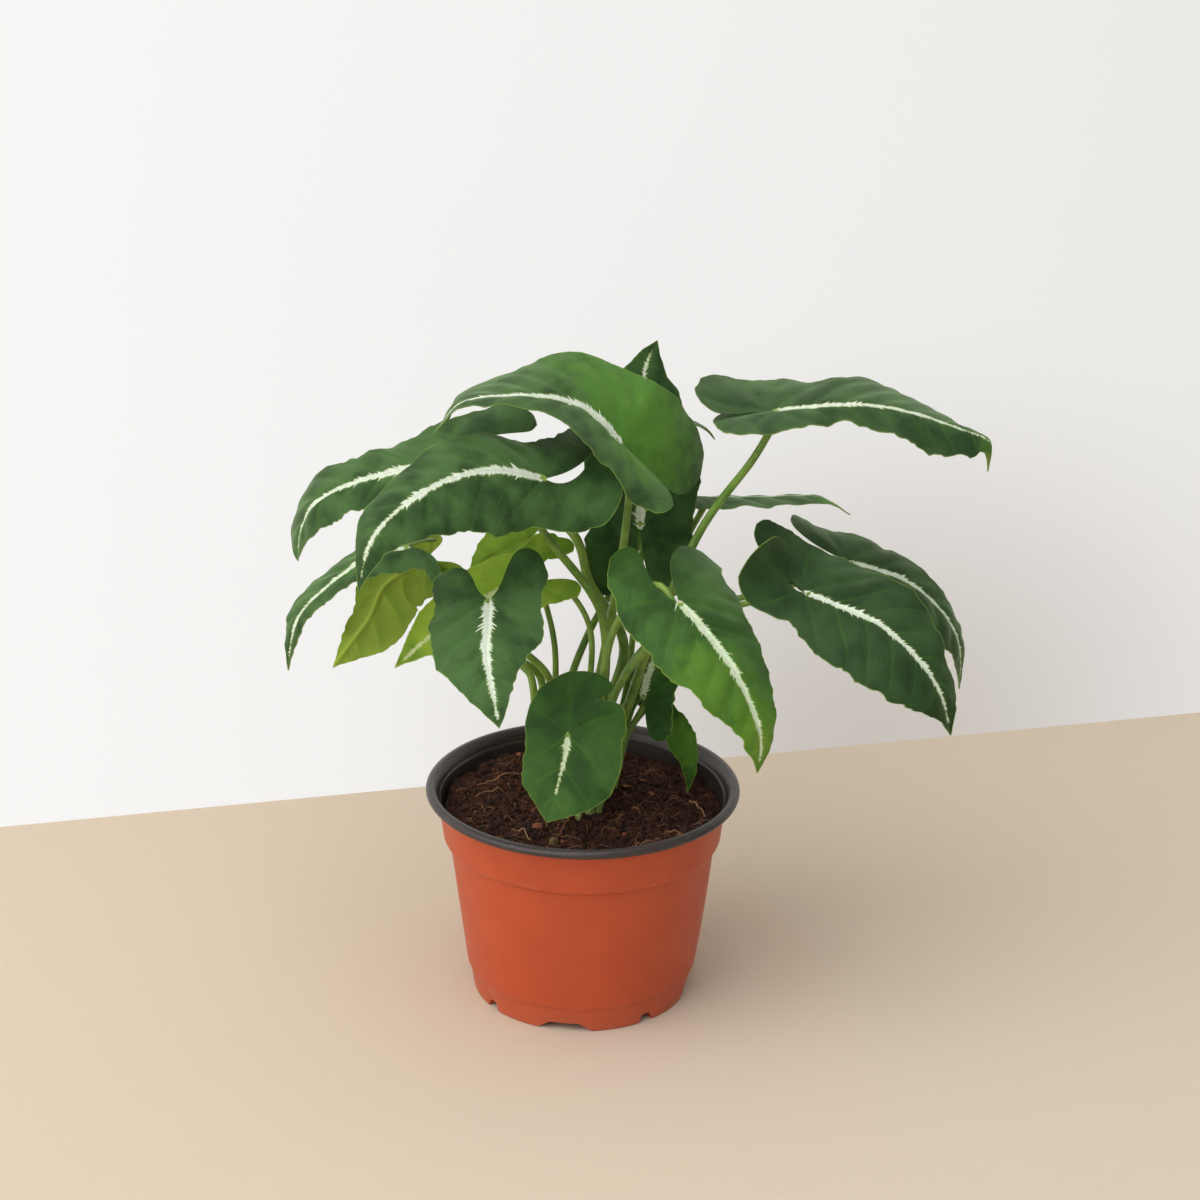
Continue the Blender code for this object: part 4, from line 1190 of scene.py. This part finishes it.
def orange_ply():
    """Satin terracotta polypropylene with rubbed edges and dust low down."""
    made, node, shader = new_material("terracotta_polypropylene")
    place = node("ShaderNodeAttribute", give="Vector", attribute_name="place")
    _, height, sharp = node("ShaderNodeSeparateXYZ", {0: place}).outputs
    spot = node("ShaderNodeTexCoord", give="Object")
    mottle = node("ShaderNodeTexNoise", {"Vector": spot, "Scale": 45.0, "Detail": 3.0}, "Fac")
    grain = node("ShaderNodeTexNoise", {"Vector": spot, "Scale": 900.0, "Detail": 2.0}, "Fac")

    # rubbed marks: short strokes round the pot, strongest on the collar's edge and the foot
    strokes = node("ShaderNodeVectorMath", {0: place, 1: (0.10, 1.0, 0.0)}, 0, operation="MULTIPLY")
    rub = node("ShaderNodeTexNoise", {"Vector": strokes, "Scale": 0.9, "Detail": 5.0,
                                      "Roughness": 0.7}, "Fac")
    edge_rub = node("ShaderNodeMath", {0: sharp, 1: 0.16, 2: rub}, 0, operation="MULTIPLY_ADD")
    tone, worn, dusty, gloss = [
        node("ShaderNodeMapRange", {0: value, 1: low, 2: high, 3: start, 4: end}, 0)
        for value, low, high, start, end in (
            (mottle, 0.3, 0.7, 0.0, 1.0), (edge_rub, 0.70, 0.80, 0.0, 0.55),
            (height, 16.0, 0.0, 0.0, 0.14), (mottle, 0.3, 0.7, 0.40, 0.5))]
    layers = [(tone, linear("#b84922")), (worn, linear("#d9a58b")), (dusty, linear("#c08a6c"))]
    both = node("ShaderNodeMath", {0: mottle, 1: 3.0, 2: grain}, 0, operation="MULTIPLY_ADD")
    dress(node, shader, linear("#c14e24"), layers, (both, 0.2, 0.00012), {
        "Roughness": gloss, "IOR": POLYPROPYLENE_IOR, "Subsurface Weight": 0.06,
        "Subsurface Radius": (1.0, 0.35, 0.15), "Subsurface Scale": 0.001})
    return made


def dark_ply():
    """Dark brown-grey polypropylene with fine lines that follow the rim."""
    made, node, shader = new_material("dark_polypropylene")
    place = node("ShaderNodeAttribute", give="Vector", attribute_name="place")
    lined = node("ShaderNodeVectorMath", {0: place, 1: (0.03, 1.0, 0.0)}, 0, operation="MULTIPLY")
    spot = node("ShaderNodeTexCoord", give="Object")
    lines, dust = [
        node("ShaderNodeTexNoise", {"Vector": axes, "Scale": scale, "Detail": detail,
                                    "Roughness": 0.7}, "Fac")
        for axes, scale, detail in ((lined, 1.3, 4.0), (spot, 260.0, 5.0))]
    tone, dusty, gloss = [
        node("ShaderNodeMapRange", {0: value, 1: low, 2: high, 3: start, 4: end}, 0)
        for value, low, high, start, end in (
            (lines, 0.35, 0.68, 0.0, 1.0), (dust, 0.55, 0.78, 0.0, 0.22), (lines, 0.3, 0.7, 0.26, 0.42))]
    layers = [(tone, linear("#463f3c")), (dusty, linear("#7d746f"))]
    dress(node, shader, linear("#2b2322"), layers, (lines, 0.5, 0.0002),
          {"Roughness": gloss, "IOR": POLYPROPYLENE_IOR})
    return made


POT_PLIES = [orange_ply(), dark_ply()]
print("pot plies:", ", ".join(ply.name for ply in POT_PLIES))

# %% [markdown]
# ## Turning the pot
#
# The pot is one closed skin, so it is turned from one outline: up the inside,
# over the rolled rim, down the collar and the tapered wall to the foot, and back
# under the base. Thermoforming leaves soft corners, so each corner of the
# outline is rounded before it is turned. The foot has eight drainage openings,
# four wide and four narrow. They are arches in its lower edge, so the turned
# rings near the table are simply lifted there. A Boolean cut would also work,
# but it leaves long thin faces on such a fine mesh.

# %% Pot outline
RIM_RADIUS, POT_HEIGHT = 65.0, 91.5
BEAD_HEIGHT, BEAD_WIDTH = 3.8, 4.8
COLLAR_BOTTOM, COLLAR_STEP = 69.5, 2.2
WALL_TOP_RADIUS, WALL_FOOT_RADIUS = 55.5, 48.2
FOOT_TOP, FOOT_INSET, FOOT_RADIUS = 12.0, 1.0, 45.4
WALL, BASE_HEIGHT = 1.2, 5.0
FLOOR_TOP = BASE_HEIGHT + WALL
BEAD_BOTTOM = POT_HEIGHT - BEAD_HEIGHT


def wall_radius(height):
    """Outer radius of the tapered wall below the collar, mm."""
    share = (height - FOOT_TOP) / (COLLAR_BOTTOM - FOOT_TOP)
    return WALL_FOOT_RADIUS + (WALL_TOP_RADIUS - WALL_FOOT_RADIUS) * share


def rounded(corners):
    """Outline with each corner (radius, height, rounding) replaced by a short arc."""
    outline = [corners[0][:2]]
    for before, corner, after in zip(corners, corners[1:], corners[2:]):
        middle = np.array(corner[:2])
        into, out = np.array(before[:2]) - middle, np.array(after[:2]) - middle
        reach = min(corner[2], 0.45 * np.linalg.norm(into), 0.45 * np.linalg.norm(out))
        start, end = middle + unit(into) * reach, middle + unit(out) * reach
        for t in np.linspace(0, 1, 5) if reach > 0.05 else [0.5]:
            outline.append(tuple((1 - t) ** 2 * start + 2 * t * (1 - t) * middle + t ** 2 * end))
    outline.append(corners[-1][:2])
    return outline


def bead_arc():
    """Rolled rim, from inside its top, round the outside, to its lower edge."""
    middle = RIM_RADIUS - BEAD_WIDTH / 2
    return [(middle + BEAD_WIDTH / 2 * math.cos(angle),
             POT_HEIGHT - BEAD_HEIGHT / 2 + BEAD_HEIGHT / 2 * math.sin(angle))
            for angle in map(math.radians, range(112, -96, -13))]


# each corner is the wall's radius at a height plus a step, a height and a rounding
inner_corners = [(0.0, FLOOR_TOP, 0), (FOOT_RADIUS - 4.0, FLOOR_TOP, 2.0)] + [
    (wall_radius(level) + step - WALL, height, soft) for level, step, height, soft in (
        (FLOOR_TOP + 3.0, -FOOT_INSET, FLOOR_TOP + 3.0, 1.5), (FOOT_TOP + 1.0, 0, FOOT_TOP + 1.0, 1.0),
        (COLLAR_BOTTOM - 2.0, 0, COLLAR_BOTTOM - 2.0, 1.0),
        (COLLAR_BOTTOM, COLLAR_STEP, COLLAR_BOTTOM + 0.6, 1.0), (86.0, COLLAR_STEP, 86.0, 0.5),
        (87.0, COLLAR_STEP + 0.7, 87.0, 0.5), (POT_HEIGHT, COLLAR_STEP + 0.7, POT_HEIGHT - 0.9, 0.4))]
outer_corners = [
    (wall_radius(level) + step, height, soft) for level, step, height, soft in (
        (BEAD_BOTTOM, COLLAR_STEP + 0.5, BEAD_BOTTOM, 0.4),
        (BEAD_BOTTOM - 2.5, COLLAR_STEP, BEAD_BOTTOM - 2.5, 1.0),
        (COLLAR_BOTTOM, COLLAR_STEP, COLLAR_BOTTOM, 0.7), (COLLAR_BOTTOM - 2.0, 0, COLLAR_BOTTOM - 1.8, 0.7),
        (FOOT_TOP, 0, FOOT_TOP, 0.7), (FOOT_TOP, -FOOT_INSET, FOOT_TOP - 1.5, 0.7))]
outer_corners += [(FOOT_RADIUS, 0.0, 0.8), (FOOT_RADIUS - 3.0, 0.0, 0.6),
                  (FOOT_RADIUS - 3.6, BASE_HEIGHT, 1.0), (0.0, BASE_HEIGHT, 0)]
inside_outline = rounded(inner_corners)[:-1]
outside_outline = rounded([bead_arc()[-1] + (0,)] + outer_corners)[1:]
pot_outline = inside_outline + bead_arc() + outside_outline
print("points on the pot's outline:", len(pot_outline))

# %% [markdown]
# A turned mesh needs one vertex ring for each point of the outline, and a single
# vertex where the outline meets the axis. Straight stretches are divided as
# well, because the wall is slightly out of true: thin sheet cools unevenly.

# %% Turn the outline
POT_STEPS = 320
LONGEST = 5.0
OPENING_HEIGHT = 3.4
# angle in degrees, width at the table and width at the top in mm
OPENINGS = ([(angle, 23, 12) for angle in (262, 352, 82, 172)]
            + [(angle, 7, 4.5) for angle in (307, 37, 127, 217)])


def divided(outline):
    """Outline with long stretches divided, as (radius, height)."""
    points = [outline[0]]
    for start, end in zip(outline, outline[1:]):
        pieces = max(1, math.ceil(math.dist(start, end) / LONGEST))
        for k in range(1, pieces + 1):
            points.append(tuple(a + (b - a) * k / pieces for a, b in zip(start, end)))
    return points


def out_of_true(angle, height):
    """Slight waviness of a thin thermoformed wall, mm."""
    return 0.22 * math.sin(3 * angle + 0.06 * height) + 0.12 * math.sin(7 * angle - 0.09 * height)


def lifted(angle):
    """Height of the foot's lower edge at an angle, mm."""
    height = 0.0
    for middle, bottom, top in OPENINGS:
        apart = (angle - math.radians(middle) + math.pi) % (2 * math.pi) - math.pi
        slope = (bottom / 2 - abs(apart) * FOOT_RADIUS) / (bottom - top) * 2
        height = max(height, OPENING_HEIGHT * min(max(slope, 0.0), 1.0))
    return height


def build_pot():
    """The pot's closed skin; faces up to the rim's lower edge take the dark ply."""
    outline = divided(pot_outline)
    arc_end = len(divided(inside_outline)) + len(bead_arc())
    builder, place = start_mesh("place")
    rings = []
    walked = 0.0
    for number, (radius, height) in enumerate(outline):
        walked += math.dist(outline[number - 1], (radius, height)) if number else 0.0
        outer_side = number >= arc_end
        ceiling = FOOT_TOP if radius > FOOT_RADIUS - 1 else BASE_HEIGHT
        edges = (COLLAR_BOTTOM, FOOT_TOP - 0.5, 0.5)
        sharp = max(math.exp(-((height - level) / 0.9) ** 2) for level in edges)
        steady = min(1.0, radius / 20.0) * (1.0 if 3 < height < 86 else 0.3)
        ring = []
        for angle in ring_angles(1 if radius < 0.01 else POT_STEPS):
            out = radius + out_of_true(angle, height) * steady
            rise = lifted(angle) if outer_side and height < ceiling else 0.0
            z = rise + height * (ceiling - rise) / ceiling
            vert = builder.verts.new(to_frame((out * math.cos(angle), out * math.sin(angle), z)))
            vert[place] = (radius * angle, height if outer_side else walked, sharp)
            ring.append(vert)
        rings.append(ring)
    for number, face in enumerate(join_rings(builder, rings)):
        face.material_index = 1 if number // POT_STEPS < arc_end - 1 else 0
    return finished("pot_shell", builder, POT_PLIES[0], smooth=50)


pot = build_pot()
pot.data.materials.append(POT_PLIES[1])
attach(pot, BODY)
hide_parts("pot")
print("pot:", len(pot.data.polygons), "faces")

# %% [markdown]
# ## Potting mix
#
# The mix is coir pith with peat: dark brown crumbs, felted with curly husk
# fibres. From a metre away the eye reads three things: soft lumps a centimetre
# across, dark gaps between them, and paler fibres that catch the light on top.
# The lumps and gaps are the surface itself, moved in code; crumbs, fibres, bark
# and roots are small meshes scattered on it, each kind joined into one piece.

# %% Mix surface
SOIL_LEVEL, SOIL_LUMP = 81.0, 1.6
SOIL_RINGS, SOIL_STEPS = 84, 220
CLEARANCE = 0.45


def soil_height(x, y):
    """Lumpy surface of the mix, mm."""
    wide, lumps, gaps, crumb = [noise.noise(Vector((x / size, y / size, seed))) for size, seed in
                                ((14.0, 3.7), (5.0, 9.1), (3.1, 1.3), (1.3, 5.5))]
    slope = 0.022 * (y - x)
    mound = 2.6 * math.exp(-((x - 2) ** 2 + (y + 6) ** 2) / 18.0 ** 2)
    rough = SOIL_LUMP * wide + 1.9 * lumps - 3.2 * (0.3 - min(abs(gaps), 0.3)) + 0.8 * crumb
    return SOIL_LEVEL + slope + mound + rough


def coir_mix():
    """Felted coir pith: dark brown, dull, finely fibrous."""
    made, node, shader = new_material("coir_pith")
    spot = node("ShaderNodeTexCoord", give="Object")
    lumps = node("ShaderNodeTexNoise", {"Vector": spot, "Scale": 230.0, "Detail": 5.0,
                                        "Roughness": 0.65}, "Fac")
    felt = node("ShaderNodeTexNoise", {"Vector": spot, "Scale": 900.0, "Detail": 4.0, "Roughness": 0.7,
                                       "Distortion": 2.5}, "Fac")
    tone = node("ShaderNodeMapRange", {0: lumps, 1: 0.35, 2: 0.65}, 0)
    strands = node("ShaderNodeMapRange", {0: felt, 1: 0.56, 2: 0.72, 4: 0.8}, 0)
    height = node("ShaderNodeMath", {0: lumps, 1: 2.0, 2: felt}, 0, operation="MULTIPLY_ADD")
    dress(node, shader, linear("#1d110c"), [(tone, linear("#53301f")), (strands, linear("#845138"))],
          (height, 1.0, 0.001), {"Roughness": 0.92, "Specular IOR Level": 0.3})
    return made


def build_mix():
    """The plug of mix: inside the pot's wall below, lumpy on top."""
    rings = [(radius - CLEARANCE, max(height, FLOOR_TOP + CLEARANCE)) for radius, height in inside_outline
             if height < SOIL_LEVEL - 6 and radius > 1]
    edge = wall_radius(SOIL_LEVEL) + COLLAR_STEP - WALL - CLEARANCE
    rings.append((edge - 0.2, SOIL_LEVEL - 4.0))
    rings += [(edge * (1 - (k + 0.5) / SOIL_RINGS), None) for k in range(SOIL_RINGS)]
    builder = bmesh.new()
    loops = []
    for radius, height in rings:
        spots = [(radius * math.cos(angle), radius * math.sin(angle)) for angle in ring_angles(SOIL_STEPS)]
        loops.append([builder.verts.new(to_frame((x, y, soil_height(x, y) if height is None else height)))
                      for x, y in spots])
    join_rings(builder, loops)
    return finished("potting_mix_plug", builder, coir_mix(), smooth=80)


mix = build_mix()
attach(mix, BODY)
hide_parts("potting_mix")
print("potting mix:", len(mix.data.polygons), "faces")

# %% [markdown]
# ## Fibres, crumbs and bark
#
# Husk fibres are stiff and curly, a few tenths of a millimetre thick, tan to
# chestnut. Each is a short swept rod that wanders over the surface and lifts
# off it in the middle. Crumbs are small lumps of pith, and the bark is flat
# reddish chips. A particle system could scatter them, but plain meshes travel
# to any other program.

# %% Scattered bits
SURFACE_RADIUS = 53.5
FIBRE_EDGE = SURFACE_RADIUS + 0.6
FIBRE_STEPS = 10


def clear_spot():
    """A random place on the mix, away from the shoots."""
    while True:
        x, y = chance.uniform(-SURFACE_RADIUS, SURFACE_RADIUS, 2)
        free = all(math.hypot(x - sx, y - sy) > SHOOT_RADIUS + 0.5 for sx, sy in SHOOTS.values())
        if math.hypot(x, y) < SURFACE_RADIUS and free:
            return x, y


def bit_material(name, first, second, rough):
    """Dry plant matter whose tone changes from one piece to the next."""
    made, node, shader = new_material(name)
    side = node("ShaderNodeAttribute", give="Vector", attribute_name="side")
    own = node("ShaderNodeSeparateXYZ", {0: side}, 0)
    spot = node("ShaderNodeTexCoord", give="Object")
    grain = node("ShaderNodeTexNoise", {"Vector": spot, "Scale": 1400.0, "Detail": 3.0}, "Fac")
    shade = node("ShaderNodeMapRange", {0: grain, 1: 0.3, 2: 0.7, 4: 0.45}, 0)
    dress(node, shader, linear(first), [(own, linear(second)), (shade, linear(first, 0.5))],
          (grain, 0.6, 0.0003), {"Roughness": rough})
    return made


def lay_rod(builder, tones, tone, points, radius, stations, sides, thinning):
    """One thin rod through points, thinner at its ends, with a tone of its own."""
    shares = np.linspace(0, 1, stations)
    sections = [[(thin * math.cos(angle), thin * math.sin(angle)) for angle in ring_angles(sides)]
                for thin in radius * (1 - thinning * np.abs(2 * shares - 1) ** 3)]
    for ring in sweep(builder, smooth_route(points, stations), sections):
        for vert in ring:
            vert[tones] = (tone, 0.0, 0.0)


def scatter_fibres(name, finish, count, lengths, radii, lift, curl):
    """Curly rods on the surface, joined into one piece."""
    builder, tones = start_mesh("side")
    for _ in range(count):
        x, y = clear_spot()
        heading = chance.uniform(0, 2 * math.pi)
        length, radius = chance.uniform(*lengths), chance.uniform(*radii)
        bend, rise = chance.normal(0, curl), chance.uniform(0.1, 1.0) ** 2 * lift
        tone = chance.uniform(0, 1)
        points = []
        for share in np.linspace(0, 1, FIBRE_STEPS):
            inward = min(FIBRE_EDGE / math.hypot(x, y), 1.0)
            x, y = x * inward, y * inward
            points.append((x, y, soil_height(x, y) + radius * 0.5 + rise * math.sin(math.pi * share)))
            heading += bend / FIBRE_STEPS + chance.normal(0, 0.16)
            x += length / FIBRE_STEPS * math.cos(heading)
            y += length / FIBRE_STEPS * math.sin(heading)
        lay_rod(builder, tones, tone, points, radius, stations=12, sides=4, thinning=0.6)
    return finished(name, builder, finish, smooth=70)


def scatter_chips(name, finish, count, sizes, flatness):
    """Irregular lumps or chips half sunk in the surface, joined into one piece."""
    builder, tones = start_mesh("side")
    for _ in range(count):
        x, y = clear_spot()
        size, tone = chance.uniform(*sizes), chance.uniform(0, 1)
        spin = Matrix.Rotation(chance.uniform(0, math.pi), 4, "Z") @ Matrix.Rotation(
            chance.normal(0, 0.35), 4, "X")
        stretch = Matrix.Diagonal((chance.uniform(0.8, 1.7), 1.0, flatness, 1.0))
        for vert in bmesh.ops.create_icosphere(builder, subdivisions=1, radius=size)["verts"]:
            vert.co *= 1 + chance.uniform(-0.3, 0.25)
            turned = spin @ stretch @ vert.co
            vert.co = to_frame(Vector((x, y, soil_height(x, y) + 0.25 * size * flatness)) + turned)
            vert[tones] = (tone, 0.0, 0.0)
    return finished(name, builder, finish, smooth=35)


print("mix surface at the middle, mm:", round(soil_height(0, 0), 1))

# %% [markdown]
# A few larger things lie on the mix where anyone would notice them: straws of
# husk, two pale stubs of old leaf sheaths in front of the shoots, a brown bud
# and a small yellow one further forward. Each straw is named by its two ends.

# %% Straws and stubs
STRAWS = [  # two ends on the mix, radius and height of the middle above the mix, mm
    ((-15, -42), (-2, -10), 0.30, 2.0), ((-44, 15), (-25, 28), 0.42, 1.2),
    ((-46, 6), (-32, 13), 0.30, 0.8),
    ((20, -38), (32, -30), 0.24, 1.2), ((44, 9), (51, -8), 0.34, 1.6),
    ((33, -22), (44, -26), 0.26, 1.0), ((-28, -22), (-20, -34), 0.24, 1.2),
]
STUBS = [  # place, radius, height and colour pair
    ((-7.2, -16.5), 1.9, 2.6, "#a7b05e", "#c6c98a"), ((-1.9, -13.5), 1.7, 2.6, "#9cac52", "#bfca80"),
    ((-11.5, -33.0), 2.2, 2.2, "#5d4a2c", "#85703f"), ((-3.0, -45.0), 1.1, 1.2, "#a9ae3f", "#c2c45e"),
]
STUB_SHAPE = [(0.0, 1.0), (0.35, 1.05), (0.6, 0.95), (0.8, 0.85), (0.93, 0.6), (1.0, 0.25)]
STUB_SUNK = 3.0


def lay_straws(name, finish):
    """Nearly straight straws, each arched a little off the mix."""
    builder, tones = start_mesh("side")
    for number, (start, end, radius, lift) in enumerate(STRAWS):
        points = []
        for share in np.linspace(0, 1, 12):
            x = start[0] + (end[0] - start[0]) * share + 0.8 * math.sin(5 * share + number)
            y = start[1] + (end[1] - start[1]) * share
            points.append((x, y, soil_height(x, y) + radius + lift * math.sin(math.pi * share) ** 0.7))
        lay_rod(builder, tones, number / len(STRAWS), points, radius, stations=24, sides=6, thinning=0.5)
    return finished(name, builder, finish, smooth=70)


def build_stub(name, spot, radius, tall, finish):
    """Short rounded stub with a shallow waist, leaning slightly."""
    builder, tones = start_mesh("side")
    foot, height = soil_height(*spot) - STUB_SUNK, tall + STUB_SUNK
    route = np.array([(spot[0] + 0.12 * tall * s, spot[1] - 0.1 * tall * s, foot + height * s)
                      for s, _ in STUB_SHAPE])
    sections = [[(radius * wide * (1 + 0.06 * math.cos(5 * a)) * math.cos(a), radius * wide * math.sin(a))
                 for a in ring_angles(18)] for _, wide in STUB_SHAPE]
    for ring in sweep(builder, route, sections):
        for k, vert in enumerate(ring):
            vert[tones] = (0.5 + 0.5 * math.sin(3 * k), 0.0, 0.0)
    return finished(name, builder, finish)


# %% Scatter them
FIBRES = {  # material, colour pair, roughness, count, lengths and radii in mm, lift in mm, curl
    "coir_fibres_fine": ("chestnut_coir_fibre", "#4a281b", "#8a5239", 0.7,
                         1700, (3, 10), (0.08, 0.16), 1.6, 2.6),
    "coir_fibres_tan": ("tan_coir_fibre", "#8d5f40", "#c0935f", 0.6, 150, (5, 15), (0.08, 0.16), 2.4, 1.3),
    "loose_roots": ("dry_root", "#94683f", "#c2945f", 0.6, 9, (6, 14), (0.1, 0.18), 1.6, 0.8),
}
CHIPS = {  # material, colour pair, roughness, count, sizes in mm, flatness
    "pith_crumbs": ("pith_crumb", "#24140e", "#54301f", 0.95, 1500, (0.4, 1.3), 0.8),
    "bark_chips": ("bark_chip", "#6d3c27", "#a5633f", 0.8, 34, (0.9, 2.4), 0.35),
}
bits = [lay_straws("husk_straws", bit_material("husk_straw", "#9a5f3d", "#d3a878", 0.6))]
for number, (spot, radius, tall, first, second) in enumerate(STUBS, 1):
    finish = bit_material(f"sheath_stub_skin_{number}", first, second, 0.5)
    bits.append(build_stub(f"sheath_stub_{number}", spot, radius, tall, finish))
for scatter, kinds in ((scatter_fibres, FIBRES), (scatter_chips, CHIPS)):
    for name, (skin, first, second, rough, *shape) in kinds.items():
        bits.append(scatter(name, bit_material(skin, first, second, rough), *shape))
for piece in bits:
    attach(piece, BODY)
    print(f"{piece.name}: {len(piece.data.polygons)} faces")

# %% [markdown]
# ## Keep the measure
#
# The visual plant must not outgrow the imported one. Both boxes are kept in a
# table, and the differences are printed.

# %% Measure and finish
looks_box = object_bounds()
boxes = {"cad": [[float(v) for v in corner] for corner in cad_box],
         "visual": [[float(v) for v in corner] for corner in looks_box]}
for corner, packed, drawn in zip(("lowest", "highest"), boxes["cad"], boxes["visual"]):
    print(corner, "corner differs by, mm:", [round((b - a) / MM, 1) for a, b in zip(packed, drawn)])
